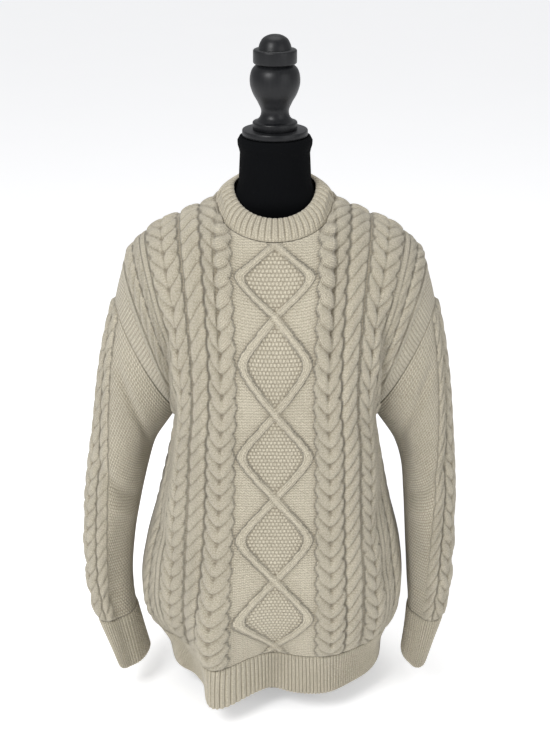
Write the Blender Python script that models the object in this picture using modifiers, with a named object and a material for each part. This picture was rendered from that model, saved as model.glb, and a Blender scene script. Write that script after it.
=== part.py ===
"""Cable-knit crew-neck sweater worn by a limbless counter-top dress form.

Frame: origin at the centre of the form's flat bottom, +Z up, the front of the sweater faces -Y,
and +X is the viewer's right. All sizes are in metres. Left and right are the viewer's.

Cloth is described in pattern coordinates: `s` runs across a piece from its middle line and `t`
runs up from its lower edge, both in metres of knitted cloth. Each piece is a closed wall: a ground
surface placed in space from section tables, the raised stitch pattern on its outer points, and a
plain inner face.
"""
from functools import partial

import bmesh
import bpy
import numpy as np

COLLECTION_NAME = "Cable knit sweater on a dress form"

# Cloth.
SEAM_GAP = 0.0003          # clear gap between pieces at a seam
ARMHOLE_SHIFT = 0.0006     # sleeve start, moved along the sleeve from the armhole edge
WALL = 0.0040              # thickness of the ground knit
BAND_WALL = 0.0050         # thickness of the doubled neckband
EDGE_FADE = 0.006          # length over which the raised pattern dies out at a seam

# Stitch pattern.
PITCH = 0.0245             # one cable crossing to the next, up the cloth
ROW = PITCH / 2            # spacing of the mesh rows
CABLE_HEIGHT = 0.0038      # V cables and wide ropes above the ground
THIN_ROPE_HEIGHT = 0.0026
BAND_HEIGHT = 0.0030       # raised band round each diamond
MOSS_HEIGHT = 0.0008       # moss stitch inside the diamonds
DIAMOND_HALF_WIDTH = 0.050
DIAMOND_PITCHES = 5        # cable pitches in one diamond
RIB_HEIGHT = 0.0016
BODY_RIB_PITCH = 0.0050
CUFF_RIBS = 44
NECK_RIBS = 54

# Body panels, the same cut front and back but for the neckline.
PANEL_HALF = 0.290         # half the width of a panel
HEM_RIB = 0.068            # height of the hem rib
FIRST_CROSSING = 0.0725    # lowest crossing of the diamond bands
UNDERARM = 0.430           # cloth height of the underarm
ARMHOLE_TOP = 0.680        # cloth height of the shoulder seam at the armhole
NECK_HALF = 0.080          # half the neck opening
NECK_POINT = 0.765         # cloth height of the shoulder seam at the neck
ARMHOLE_STEPS = 10
FRONT_SIGN = -1
BACK_SIGN = 1

# Body sections from the hem up: cloth height, level, half width at each side, depth of the middle
# front and back, and how square the corners are (0 is round).
BODY_SECTIONS = np.array([
    # cloth   level  left    right   front   back    square
    (0.000, 0.040, 0.153, 0.157, 0.128, 0.118, 0.15),
    (0.035, 0.074, 0.160, 0.160, 0.130, 0.122, 0.20),
    (0.068, 0.104, 0.176, 0.170, 0.136, 0.128, 0.25),
    (0.100, 0.132, 0.192, 0.182, 0.146, 0.136, 0.30),
    (0.140, 0.168, 0.198, 0.188, 0.153, 0.140, 0.35),
    (0.200, 0.226, 0.190, 0.184, 0.156, 0.138, 0.42),
    (0.270, 0.292, 0.172, 0.168, 0.150, 0.130, 0.55),
    (0.350, 0.366, 0.152, 0.151, 0.139, 0.122, 0.75),
    (0.430, 0.440, 0.137, 0.137, 0.130, 0.118, 0.95),
])

# Soft folds of the body: which panel, place across at the hem, lean, width, depth, lowest and
# highest cloth height, and height of its strongest point.
BODY_FOLDS = (
    # sign        across  lean   width  depth   low     high   strongest
    (FRONT_SIGN, -0.083, 0.05, 0.032, 0.054, -0.400, 0.330, 0.000),
    (FRONT_SIGN, -0.005, 0.05, 0.030, -0.016, -0.300, 0.250, 0.000),
    (FRONT_SIGN, 0.085, 0.00, 0.040, 0.010, -0.300, 0.260, 0.000),
    (FRONT_SIGN, -0.175, 0.05, 0.030, -0.010, -0.200, 0.300, 0.060),
    (FRONT_SIGN, 0.190, -0.05, 0.030, -0.008, 0.080, 0.420, 0.240),
    (BACK_SIGN, -0.120, 0.05, 0.045, 0.018, -0.350, 0.330, 0.000),
    (BACK_SIGN, 0.020, 0.00, 0.040, -0.014, -0.300, 0.260, 0.000),
    (BACK_SIGN, 0.130, -0.05, 0.045, 0.016, -0.300, 0.300, 0.000),
)

# Shoulder seam, from the neck to the armhole: cloth across, place across, level.
SHOULDER_SEAM = np.array([
    # cloth   across  level
    (0.080, 0.081, 0.738),
    (0.121, 0.120, 0.722),
    (0.162, 0.158, 0.705),
    (0.187, 0.181, 0.691),
    (0.221, 0.202, 0.665),
    (0.262, 0.216, 0.625),
    (0.290, 0.222, 0.600),
])

# Neckline: depth and level in the middle of the panel, and cloth height there.
NECKLINE = {
    # sign:      (depth, level, cloth)
    FRONT_SIGN: (0.088, 0.705, 0.690),
    BACK_SIGN: (0.074, 0.742, 0.735),
}

# Armhole: an oval in a leaning plane from the underarm to the top of the shoulder drop.
ARMHOLE_DEPTH = {FRONT_SIGN: 0.066, BACK_SIGN: 0.058}

# Sleeves.
CUFF_RIB = 0.074           # height of the cuff rib
SLEEVE_LENGTH = 0.545      # cuff edge to armhole, along the outer line
SLEEVE_TOP_HALF = 0.250    # half the pattern width at the armhole
SLEEVE_CUFF_HALF = 0.140   # half the pattern width above the cuff
CUFF_HALF = 0.110          # half the cuff's pattern width

# Sleeve sections from the cuff edge up: cloth height, inner and outer point across and level,
# middle and half depth front to back, turn about the vertical, and twist of the middle line.
SLEEVE_SECTIONS = {
    -1: np.array([
        # cloth  in_x    in_z    out_x   out_z   mid_y    half_y  turn   twist
        (0.000, 0.194, 0.050, 0.227, 0.052, -0.040, 0.041, 0.26, 0.45),
        (0.037, 0.201, 0.088, 0.243, 0.090, -0.038, 0.042, 0.22, 0.45),
        (0.074, 0.208, 0.126, 0.259, 0.128, -0.035, 0.046, 0.16, 0.45),
        (0.125, 0.211, 0.172, 0.272, 0.178, -0.030, 0.054, 0.10, 0.45),
        (0.200, 0.206, 0.236, 0.275, 0.254, -0.022, 0.061, 0.06, 0.42),
        (0.290, 0.194, 0.302, 0.268, 0.340, -0.012, 0.062, 0.03, 0.36),
        (0.370, 0.182, 0.352, 0.256, 0.422, -0.006, 0.061, 0.02, 0.28),
        (0.440, 0.170, 0.388, 0.246, 0.494, -0.004, 0.061, 0.00, 0.18),
        (0.495, 0.155, 0.413, 0.235, 0.550, -0.004, 0.061, 0.00, 0.08),
        (0.545, 0.137, 0.440, 0.222, 0.600, -0.004, 0.062, 0.00, 0.00),
    ]),
    1: np.array([
        # cloth  in_x    in_z    out_x   out_z   mid_y    half_y  turn   twist
        (0.000, 0.192, 0.050, 0.224, 0.052, -0.036, 0.042, 0.06, 0.75),
        (0.037, 0.196, 0.088, 0.236, 0.090, -0.034, 0.043, 0.06, 0.75),
        (0.074, 0.198, 0.126, 0.248, 0.128, -0.031, 0.047, 0.05, 0.75),
        (0.125, 0.195, 0.172, 0.256, 0.178, -0.027, 0.057, 0.04, 0.72),
        (0.200, 0.191, 0.236, 0.258, 0.254, -0.020, 0.063, 0.03, 0.66),
        (0.290, 0.187, 0.302, 0.256, 0.340, -0.012, 0.062, 0.02, 0.54),
        (0.370, 0.182, 0.352, 0.250, 0.422, -0.006, 0.061, 0.00, 0.38),
        (0.440, 0.170, 0.388, 0.242, 0.494, -0.004, 0.061, 0.00, 0.22),
        (0.495, 0.155, 0.413, 0.233, 0.550, -0.004, 0.061, 0.00, 0.10),
        (0.545, 0.137, 0.440, 0.222, 0.600, -0.004, 0.062, 0.00, 0.00),
    ]),
}

# Soft folds of the sleeves: side, angle round from the outer line (front positive), lean, width,
# depth, lowest and highest cloth height, and height of its strongest point.
SLEEVE_FOLDS = (
    # side angle  lean   width  depth    low     high   strongest
    (-1, 2.10, 0.60, 0.50, -0.008, -0.150, 0.430, 0.120),
    (-1, -1.90, 0.50, 0.40, -0.007, 0.060, 0.440, 0.240),
    (1, 2.30, 0.40, 0.50, -0.006, -0.120, 0.400, 0.120),
    (1, -1.80, -0.50, 0.40, -0.007, 0.080, 0.460, 0.260),
    (-1, 2.60, 0.20, 0.40, -0.008, 0.330, 0.530, 0.440),
    (1, 2.60, 0.20, 0.40, -0.008, 0.330, 0.530, 0.440),
)

# Neckband rim: half width and level at the sides, then depth and level at the front and back.
BAND_TOP_SIDE = (0.061, 0.760)
BAND_TOP = {FRONT_SIGN: (0.064, 0.729), BACK_SIGN: (0.053, 0.770)}
BAND_LIFT = 0.0012         # start of the band above the neckline
BAND_SIDE_LIFT = 0.0034    # the same over the shoulder seams
BAND_BULGE = 0.0030        # how far the band stands out half-way up

# Columns of the body panels, from the middle to the side.
PANEL_COLUMNS = (
    # across, every row or every second row
    (0.000, 1), (0.010, 1), (0.020, 1), (0.030, 1), (0.040, 1), (0.050, 1), (0.058, 2),
    (0.069, 1), (0.0765, 2), (0.080, 2), (0.091, 1), (0.102, 2), (0.117, 1), (0.132, 2),
    (0.146, 1), (0.159, 2), (0.172, 1), (0.185, 2), (0.195, 1), (0.205, 2),
    (0.217, 1), (0.229, 2), (0.260, 2), (0.290, 2),
)
PANEL_LINING_COLUMNS = (
    0.0, 0.015, 0.030, 0.045, 0.058, 0.069, 0.0765, 0.080, 0.102, 0.132, 0.159, 0.185, 0.217, 0.250, 0.290,
)
LINING_ROW = 0.054
LINING_TOP_ROW = 0.036
HEM_LINING_COLUMNS = 40
CUFF_LINING_COLUMNS = 22
NECK_LINING_COLUMNS = 24

# Columns of the sleeves, from the middle line. The last ones spread evenly to the underarm.
SLEEVE_COLUMNS = (
    # across, every row or every second row
    (0.000, 2), (0.011, 1), (0.022, 2), (0.0345, 1), (0.047, 2),
)
SLEEVE_SPREAD = (0.34, 0.67, 1.0)
SLEEVE_LAST_ROW = 0.520    # last full ring below the armhole
SLEEVE_LINING_RINGS = 12

# Cables: centre, half width, height, kind.
V_CABLE = "v"
ROPE = "rope"
HALF_PANEL_CABLES = (
    (0.080, 0.022, CABLE_HEIGHT, V_CABLE),
    (0.117, 0.015, CABLE_HEIGHT, ROPE),
    (0.159, 0.026, CABLE_HEIGHT, V_CABLE),
    (0.195, 0.010, THIN_ROPE_HEIGHT, ROPE),
    (0.217, 0.012, CABLE_HEIGHT, ROPE),
)
PANEL_CABLES = HALF_PANEL_CABLES + tuple((-s, half, top, kind) for s, half, top, kind in HALF_PANEL_CABLES)
SLEEVE_CABLES = (
    (0.000, 0.022, CABLE_HEIGHT, V_CABLE),
    (0.0345, 0.0125, CABLE_HEIGHT, ROPE),
    (-0.0345, 0.0125, CABLE_HEIGHT, ROPE),
)

# Dress form: level, half width, half depth front and back.
FORM_SECTIONS = (
    # level  half_x  front   back
    (0.0000, 0.0850, 0.0560, 0.0700),
    (0.1000, 0.1060, 0.0780, 0.0920),
    (0.2200, 0.1120, 0.0900, 0.0960),
    (0.3300, 0.1080, 0.0880, 0.0900),
    (0.4400, 0.1180, 0.0980, 0.0960),
    (0.5400, 0.1480, 0.1000, 0.0940),
    (0.6100, 0.1720, 0.0860, 0.0800),
    (0.6500, 0.1820, 0.0660, 0.0640),
    (0.6800, 0.1780, 0.0480, 0.0480),
    (0.7010, 0.1560, 0.0380, 0.0380),
    (0.7165, 0.1190, 0.0370, 0.0370),
    (0.7250, 0.0780, 0.0400, 0.0400),
    (0.7360, 0.0600, 0.0440, 0.0440),
    (0.7480, 0.0550, 0.0480, 0.0480),
    (0.7645, 0.0492, 0.0470, 0.0470),
    (0.8060, 0.0472, 0.0465, 0.0465),
    (0.8135, 0.0490, 0.0485, 0.0485),
    (0.8185, 0.0508, 0.0505, 0.0505),
    (0.8235, 0.0503, 0.0500, 0.0500),
    (0.8277, 0.0475, 0.0472, 0.0472),
)
FORM_SIDES = 20

# Turned neck plate and finial. The profile runs from top to bottom.
PLATE_RADIUS = 0.0440
PLATE_BOTTOM = 0.8280
PLATE_TOP = 0.8370
PLATE_SIDES = 32
FINIAL_PROFILE = (
    # radius level
    (0.0000, 0.9620), (0.0090, 0.9605), (0.0165, 0.9560), (0.0205, 0.9490), (0.0222, 0.9430),
    (0.0290, 0.9415), (0.0290, 0.9250), (0.0240, 0.9235),
    (0.0300, 0.9170), (0.0333, 0.9060), (0.0333, 0.8980), (0.0300, 0.8860), (0.0225, 0.8720),
    (0.0185, 0.8610), (0.0200, 0.8540), (0.0250, 0.8480),
    (0.0300, 0.8465), (0.0300, 0.8373), (0.0000, 0.8373),
)
FINIAL_STEPS = 14


def smooth(x):
    """Ease from 0 to 1 as x goes from 0 to 1."""
    x = np.clip(x, 0.0, 1.0)
    return x * x * (3 - 2 * x)


def curve(knots, values, x):
    """Cubic curve through the values at the knots, read at x."""
    slopes = np.gradient(values, knots)
    i = np.clip(np.searchsorted(knots, x) - 1, 0, len(knots) - 2)
    width = knots[i + 1] - knots[i]
    u = (x - knots[i]) / width
    a, b = values[i], values[i + 1]
    ma, mb = slopes[i] * width, slopes[i + 1] * width
    return ((2 * u**3 - 3 * u**2 + 1) * a + (u**3 - 2 * u**2 + u) * ma
            + (3 * u**2 - 2 * u**3) * b + (u**3 - u**2) * mb)


def square_quarter():
    """Quarter of a ring with a flat front and a tight corner, walked at an even pace."""
    q = np.linspace(0.0, 1.0, 257)
    heading = np.pi / 2 * smooth((q - 0.34) / 0.52)
    x = np.concatenate(([0.0], np.cumsum(np.cos((heading[1:] + heading[:-1]) / 2))))
    y = np.concatenate(([0.0], np.cumsum(np.sin((heading[1:] + heading[:-1]) / 2))))
    return q, x / x[-1], 1 - y / y[-1]


SQUARE_Q, SQUARE_X, SQUARE_Y = square_quarter()


def ring_quarter(q, square):
    """Across and depth shares of a ring at q from its middle (0) to its side (1)."""
    x = (1 - square) * np.sin(np.pi / 2 * q) + square * np.interp(q, SQUARE_Q, SQUARE_X)
    y = (1 - square) * np.cos(np.pi / 2 * q) + square * np.interp(q, SQUARE_Q, SQUARE_Y)
    return x, y


def fold_strength(t, low, high, strongest):
    """Strength of a fold along its length, 1 at its strongest and 0 at both ends."""
    rise = smooth((t - low) / (strongest - low))
    fall = smooth((high - t) / (high - strongest))
    return np.where(t < strongest, rise, fall)


def body_ring(sign, s, t):
    """Points of the body below the underarm, without its panel gap."""
    row = [curve(BODY_SECTIONS[:, 0], BODY_SECTIONS[:, k], t) for k in range(1, 7)]
    level, left, right, front, back, square = row
    x_share, y_share = ring_quarter(np.abs(s) / PANEL_HALF, square)
    world_side = s if sign == FRONT_SIGN else -s
    half = np.where(world_side < 0, left, right)
    depth = front if sign == FRONT_SIGN else back
    x = np.sign(world_side) * half * x_share
    y = sign * depth * y_share
    outward_x = np.sign(world_side) * x_share / half
    outward_y = sign * y_share / depth
    length = np.hypot(outward_x, outward_y)
    push = np.zeros_like(x)
    for fold_sign, across, lean, width, fold_depth, low, high, strongest in BODY_FOLDS:
        if fold_sign == sign:
            place = (s - across - lean * t) / width
            push += fold_depth * np.exp(-place**2) * fold_strength(t, low, high, strongest)
    push *= smooth((PANEL_HALF - np.abs(s)) / 0.06)
    return np.stack((x + push * outward_x / length, y + push * outward_y / length, level), -1)


def panel_top(sign, s):
    """Cloth height of a panel's top edge: neckline in the middle, then the shoulder seam."""
    neck_cloth = NECKLINE[sign][2]
    scoop = np.sqrt(1 - np.clip(np.abs(s) / NECK_HALF, 0, 1) ** 2)
    neck = NECK_POINT - (NECK_POINT - neck_cloth) * scoop
    slope = (np.abs(s) - NECK_HALF) / (PANEL_HALF - NECK_HALF)
    return np.where(np.abs(s) < NECK_HALF, neck, NECK_POINT + (ARMHOLE_TOP - NECK_POINT) * slope)


def top_edge(sign, s):
    """Points of a panel's top edge, and the direction in which the cloth arrives there."""
    depth, level, _ = NECKLINE[sign]
    across = np.sign(s) * (1 if sign == FRONT_SIGN else -1)
    inner = np.clip(np.abs(s) / NECK_HALF, 0, 1)
    scoop = np.sqrt(1 - inner**2)
    _, neck_x, neck_z = SHOULDER_SEAM[0]
    neck = np.stack((across * neck_x * inner, sign * depth * scoop,
                     neck_z - (neck_z - level) * scoop), -1)
    seam_x = curve(SHOULDER_SEAM[:, 0], SHOULDER_SEAM[:, 1], np.abs(s))
    seam_z = curve(SHOULDER_SEAM[:, 0], SHOULDER_SEAM[:, 2], np.abs(s))
    seam = np.stack((across * seam_x, np.zeros_like(s), seam_z), -1)
    points = np.where((np.abs(s) < NECK_HALF)[..., None], neck, seam)
    rise = 0.85 * (1 - inner**2)
    arrive = np.stack((np.zeros_like(s), -sign * np.sqrt(1 - rise**2), rise), -1)
    return points, arrive


def armhole(side, sign, turn):
    """Points of the armhole oval, turn 0 at the underarm and 1 at the top, and its outward normal."""
    bottom = np.array((side * BODY_SECTIONS[-1, 2], 0.0, BODY_SECTIONS[-1, 1]))
    top = np.array((side * SHOULDER_SEAM[-1, 1], 0.0, SHOULDER_SEAM[-1, 2]))
    half = np.linalg.norm(top - bottom) / 2
    up = (top - bottom) / (2 * half)
    deep = np.array((0.0, sign, 0.0))
    depth = ARMHOLE_DEPTH[sign]
    angle = np.pi * turn[..., None]
    points = (top + bottom) / 2 - half * np.cos(angle) * up + depth * np.sin(angle) * deep
    normal = -depth * np.cos(angle) * up + half * np.sin(angle) * deep
    return points, normal / np.linalg.norm(normal, axis=-1, keepdims=True)


def sleeve_direction(side):
    """Direction in which a sleeve leaves its armhole."""
    rise = SHOULDER_SEAM[-1, 2] - BODY_SECTIONS[-1, 1]
    run = SHOULDER_SEAM[-1, 1] - BODY_SECTIONS[-1, 2]
    return np.array((side * rise, 0.0, -run)) / np.hypot(rise, run)


def upper_column(sign, s, tau):
    """Points of the body above the underarm along a column, before the armhole pulls on it."""
    under = np.full_like(s, UNDERARM)
    start = body_ring(sign, s, under)
    before = body_ring(sign, s, under - 0.004)
    length = (panel_top(sign, s) - UNDERARM)[..., None]
    leave = (start - before) / 0.004 * length
    end, arrive = top_edge(sign, s)
    arrive = arrive * length * 1.02
    u = tau[..., None]
    return ((2 * u**3 - 3 * u**2 + 1) * start + (u**3 - 2 * u**2 + u) * leave
            + (3 * u**2 - 2 * u**3) * end + (u**3 - u**2) * arrive)


def body_ground(sign, s, t):
    """Points of a body panel's ground surface, seam gap included."""
    s, t = np.broadcast_arrays(np.asarray(s, float), np.asarray(t, float))
    lower = body_ring(sign, s, np.minimum(t, UNDERARM))
    tau = np.clip((t - UNDERARM) / (panel_top(sign, s) - UNDERARM), 0, 1)
    upper = upper_column(sign, s, tau)
    edge = np.sign(s + 1e-12) * PANEL_HALF
    side = np.where(edge * -sign > 0, 1, -1)
    pull = smooth((np.abs(s) - 0.13) / (PANEL_HALF - 0.13))[..., None]
    loop = np.where((side > 0)[..., None], armhole(1, sign, tau)[0], armhole(-1, sign, tau)[0])
    upper = upper + pull * (loop - upper_column(sign, edge, tau))
    points = np.where((t > UNDERARM)[..., None], upper, lower)
    points[..., 1] += sign * SEAM_GAP / 2
    return points


def unit(v):
    """Vectors scaled to length 1."""
    return v / np.linalg.norm(v, axis=-1, keepdims=True)


def body_normal(sign, s, t):
    """Outward normals of a body panel's ground surface."""
    s, t = np.broadcast_arrays(np.asarray(s, float), np.asarray(t, float))
    s_step, t_step = 0.008, 0.003
    s_in = np.clip(s, -PANEL_HALF + s_step, PANEL_HALF - s_step)
    t_in = np.clip(t, t_step, panel_top(sign, s_in) - t_step)
    ds = body_ground(sign, s_in + s_step, t_in) - body_ground(sign, s_in - s_step, t_in)
    dt = body_ground(sign, s_in, t_in + t_step) - body_ground(sign, s_in, t_in - t_step)
    normal = np.cross(ds, dt)
    low = smooth((UNDERARM - t) / 0.06)
    normal = unit(normal)
    normal[..., 2] *= 1 - low
    at_side = (np.abs(s) > PANEL_HALF - 1e-6) & (t <= UNDERARM + 1e-9)
    outward = np.stack((np.where(s * -sign > 0, 1.0, -1.0), np.zeros_like(s), np.zeros_like(s)), -1)
    normal = np.where(at_side[..., None], outward, normal)
    at_shoulder = (np.abs(s) > NECK_HALF - 1e-6) & (t >= panel_top(sign, s) - 1e-9)
    normal[..., 1] = np.where(at_shoulder, 0.0, normal[..., 1])
    return unit(normal)


def armhole_inset(sign, s, t):
    """Step from the armhole edge to the inner face, mitred between the panel and the sleeve."""
    side = 1 if s * -sign > 0 else -1
    turn = np.clip((t - UNDERARM) / (ARMHOLE_TOP - UNDERARM), 0, 1)
    sleeve_normal = armhole(side, sign, turn)[1]
    middle = body_normal(sign, np.full_like(t, s * 0.97), np.clip(t, UNDERARM + 0.02, ARMHOLE_TOP - 0.01))
    top = body_normal(sign, np.full_like(t, s), np.full_like(t, ARMHOLE_TOP))
    ends = np.where((turn < 0.5)[..., None], np.array((side, 0.0, 0.0)), top)
    share = np.clip(np.minimum(turn, 1 - turn) / 0.15, 0, 1)[..., None]
    panel_normal = unit(share * middle + (1 - share) * ends)
    both = panel_normal + sleeve_normal
    return -WALL * both / (1 + np.sum(panel_normal * sleeve_normal, -1, keepdims=True))


def lobe(phase):
    """Plump cross-section of the strands that follow one another along a cable."""
    part = phase - np.floor(phase)
    return np.sqrt(np.clip(1 - (2 * part - 1) ** 2, 0, 1))


def cable_height(cables, s, up):
    """Height of the cables above the ground, `up` metres above their first crossing.

    The strands of a V rise outwards from its middle, and a rope's strands rise to the right.
    """
    height = np.zeros(np.broadcast(s, up).shape)
    for centre, half, top, kind in cables:
        across = (s - centre) / half
        inside = np.clip(1 - across**2, 0, 1)
        if kind == V_CABLE:
            a = np.abs(across)
            body = np.sqrt(np.clip(1 - (2 * a - 1) ** 2, 0, 1)) * 0.75 + 0.25 * np.sqrt(inside)
            height += top * body * (0.25 + 0.75 * lobe(up / PITCH - a)) * (inside > 0)
        else:
            height += top * np.sqrt(inside) * (0.25 + 0.75 * lobe(up / PITCH - across / 2))
    return height


def diamond_height(s, t):
    """Height of the diamond bands and of the moss stitch inside them."""
    turn = (t - FIRST_CROSSING) / (DIAMOND_PITCHES * PITCH)
    reach = DIAMOND_HALF_WIDTH * (1 - np.abs(2 * (turn - np.floor(turn)) - 1))
    reach = np.where(turn < 0, 0.0, reach)
    gap = (np.abs(s) - reach) / 0.0075
    band = BAND_HEIGHT * np.sqrt(np.clip(1 - gap**2, 0, 1))
    moss = MOSS_HEIGHT * (np.abs(s) < reach)
    return np.maximum(band, moss)


def panel_height(sign, s, t):
    """Height of a body panel's raised pattern, dying out at every seam."""
    s, t = np.broadcast_arrays(np.asarray(s, float), np.asarray(t, float))
    height = cable_height(PANEL_CABLES, s, t - FIRST_CROSSING) + diamond_height(s, t)
    edge = np.minimum(np.minimum(t - HEM_RIB, panel_top(sign, s) - t), PANEL_HALF - np.abs(s))
    return height * smooth(edge / EDGE_FADE)


class Wall:
    """Closed wall between an outer and an inner sheet, each a list of columns of (t, vertex)."""

    def __init__(self):
        self.points = []
        self.faces = []

    def column(self, heights, points):
        """Add one column of points and return its (t, vertex) pairs."""
        start = len(self.points)
        self.points.extend(np.asarray(points).tolist())
        return [(t, start + k) for k, t in enumerate(heights)]

    def fill(self, left, right, lean=None):
        """Fill between two columns, always stepping up the one whose next point is lower."""
        i = j = 0
        while i < len(left) - 1 or j < len(right) - 1:
            go_left = j == len(right) - 1
            if i < len(left) - 1 and j < len(right) - 1:
                bias = lean(left[i][0]) if lean else 0.0
                go_left = left[i + 1][0] + bias < right[j + 1][0]
            if go_left:
                face = (left[i][1], right[j][1], left[i + 1][1])
                i += 1
            else:
                face = (left[i][1], right[j][1], right[j + 1][1])
                j += 1
            if len(set(face)) == 3:
                self.faces.append(face)

    def sheet(self, columns, places=None, cables=()):
        """Fill between neighbouring columns, the diagonals along the cables' strands."""
        for k in range(len(columns) - 1):
            lean = None
            if places:
                lean = partial(strand_lean, cables, (places[k] + places[k + 1]) / 2)
            self.fill(columns[k], columns[k + 1], lean)

    def ends(self, columns, places, end):
        """The first or last points of some columns, as (place, vertex) pairs."""
        return [(place, column[end][1]) for place, column in zip(places, columns)]

    def rims(self, outer, inner, places_outer, places_inner):
        """Close the wall along its lower and upper edges."""
        for end in (0, -1):
            self.fill(self.ends(outer, places_outer, end), self.ends(inner, places_inner, end))

    def build(self, name, look, collection):
        """Make the wall a named object."""
        mesh = bpy.data.meshes.new(name)
        mesh.from_pydata(self.points, [], self.faces)
        shell = bmesh.new()
        shell.from_mesh(mesh)
        bmesh.ops.recalc_face_normals(shell, faces=shell.faces)
        if shell.calc_volume(signed=True) < 0:
            bmesh.ops.reverse_faces(shell, faces=shell.faces)
        shell.to_mesh(mesh)
        shell.free()
        mesh.shade_smooth()
        mesh.set_sharp_from_angle(angle=0.9)
        mesh.materials.append(look)
        thing = bpy.data.objects.new(name, mesh)
        collection.objects.link(thing)
        return thing


def mirrored(half_columns):
    """Columns of a whole piece from those of its right half."""
    left = [(-s, step) for s, step in reversed(half_columns) if s > 0]
    return left + list(half_columns)


def armhole_rows():
    """Cloth heights of the seam points round an armhole, underarm to shoulder."""
    return np.linspace(UNDERARM, ARMHOLE_TOP, ARMHOLE_STEPS + 1)


def panel_rows(sign, s, step):
    """Cloth heights of a body panel's points in one column."""
    low, top = HEM_RIB + SEAM_GAP, float(panel_top(sign, np.array(s)))
    if abs(s) > PANEL_HALF - 1e-6:
        below = np.arange(FIRST_CROSSING + 2 * ROW, UNDERARM - ROW, 2 * ROW)
        return np.concatenate(([low], below, armhole_rows()))
    inside = np.arange(FIRST_CROSSING + (step - 1) * ROW, top - 0.45 * ROW, step * ROW)
    return np.concatenate(([low], inside[inside > low + 0.003], [top]))


def lining_rows(sign, s):
    """Cloth heights of a body panel's inner points in one column."""
    if abs(s) > PANEL_HALF - 1e-6:
        return panel_rows(sign, s, 2)
    low, top = HEM_RIB + SEAM_GAP, float(panel_top(sign, np.array(s)))
    even = np.linspace(low, top - LINING_TOP_ROW, round((top - low) / LINING_ROW))
    return np.concatenate((even, [top - LINING_TOP_ROW * 0.4, top]))


def strand_lean(cables, middle, t):
    """Which way the mesh diagonals lean at a place, along the strand that crosses it."""
    for centre, half, _, kind in cables:
        if abs(middle - centre) < half:
            return ROW / 2 if kind == ROPE or middle > centre else -ROW / 2
    turn = (t - FIRST_CROSSING) / (DIAMOND_PITCHES * PITCH)
    widening = turn - np.floor(turn) < 0.5
    return ROW / 2 if widening == (middle > 0) else -ROW / 2


def body_panel(name, sign, look, collection):
    """One body panel, from its hem rib to the shoulder."""
    wall = Wall()
    columns = mirrored(PANEL_COLUMNS)
    outer, inner = [], []
    for s, step in columns:
        t = panel_rows(sign, s, step)
        across = np.full_like(t, s)
        ground = body_ground(sign, across, t)
        raised = panel_height(sign, across, t)[:, None] * body_normal(sign, across, t)
        outer.append(wall.column(t, ground + raised))
    places = [s for s, _ in mirrored([(s, 1) for s in PANEL_LINING_COLUMNS])]
    for s in places:
        t = lining_rows(sign, s)
        across = np.full_like(t, s)
        inset = -WALL * body_normal(sign, across, t)
        if abs(s) > PANEL_HALF - 1e-6:
            on_armhole = (t >= UNDERARM - 1e-9)[:, None]
            inset = np.where(on_armhole, armhole_inset(sign, s, t), inset)
        inner.append(wall.column(t, body_ground(sign, across, t) + inset))
    across_outer = [s for s, _ in columns]
    wall.sheet(outer, across_outer, PANEL_CABLES)
    wall.sheet(inner)
    wall.rims(outer, inner, across_outer, places)
    wall.fill(outer[0], inner[0])
    wall.fill(outer[-1], inner[-1])
    return wall.build(name, look, collection)


def rib_shares(count):
    """Shares across a ribbed piece, and the height of each: a ridge, then a groove."""
    share = np.linspace(0, 1, 2 * count + 1)
    return share, RIB_HEIGHT * (np.arange(2 * count + 1) % 2)


def hem_rib(name, sign, look, collection):
    """Ribbed hem under one body panel."""
    wall = Wall()
    share, height = rib_shares(round(2 * PANEL_HALF / BODY_RIB_PITCH))
    lining = np.linspace(0, 1, HEM_LINING_COLUMNS + 1)
    t = np.array((0.0, HEM_RIB))
    outer, inner = [], []
    for u, h in zip(share, height):
        across = np.full_like(t, PANEL_HALF * (2 * u - 1))
        normal = body_normal(sign, across, t)
        outer.append(wall.column(t, body_ground(sign, across, t) + h * normal))
    for u in lining:
        across = np.full_like(t, PANEL_HALF * (2 * u - 1))
        normal = body_normal(sign, across, t)
        inner.append(wall.column(t, body_ground(sign, across, t) - WALL * normal))
    wall.sheet(outer)
    wall.sheet(inner)
    wall.rims(outer, inner, share, lining)
    wall.fill(outer[0], inner[0])
    wall.fill(outer[-1], inner[-1])
    return wall.build(name, look, collection)


def sleeve_half(t):
    """Half the pattern width of a sleeve."""
    above = (t - CUFF_RIB) / (SLEEVE_LENGTH - CUFF_RIB)
    body = SLEEVE_CUFF_HALF + (SLEEVE_TOP_HALF - SLEEVE_CUFF_HALF) * np.clip(above, 0, 1)
    return np.where(t < CUFF_RIB, CUFF_HALF + (SLEEVE_CUFF_HALF - CUFF_HALF) * (t / CUFF_RIB)**2, body)


def sleeve_ring(side, share, t):
    """Points of a sleeve at a share of the way round from its middle line, -1 to 1."""
    table = SLEEVE_SECTIONS[side]
    row = [curve(table[:, 0], table[:, k], t) for k in range(1, 9)]
    in_x, in_z, out_x, out_z, mid_y, half_y, turn, twist = row
    angle = np.pi * share - side * twist
    bend = (1 + np.cos(angle)) / 2
    y = mid_y + side * half_y * np.sin(angle)
    x = in_x + (out_x - in_x) * bend + turn * (mid_y - y)
    z = in_z + (out_z - in_z) * bend
    push = np.zeros_like(x)
    for fold_side, place, lean, width, depth, low, high, strongest in SLEEVE_FOLDS:
        if fold_side == side:
            away = -side * angle - place - lean * (t - strongest)
            away = np.arctan2(np.sin(away), np.cos(away)) / width
            push += depth * np.exp(-away**2) * fold_strength(t, low, high, strongest)
    x += push * np.cos(angle)
    y += push * side * np.sin(angle)
    return np.stack((side * x, y, z), -1)


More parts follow.
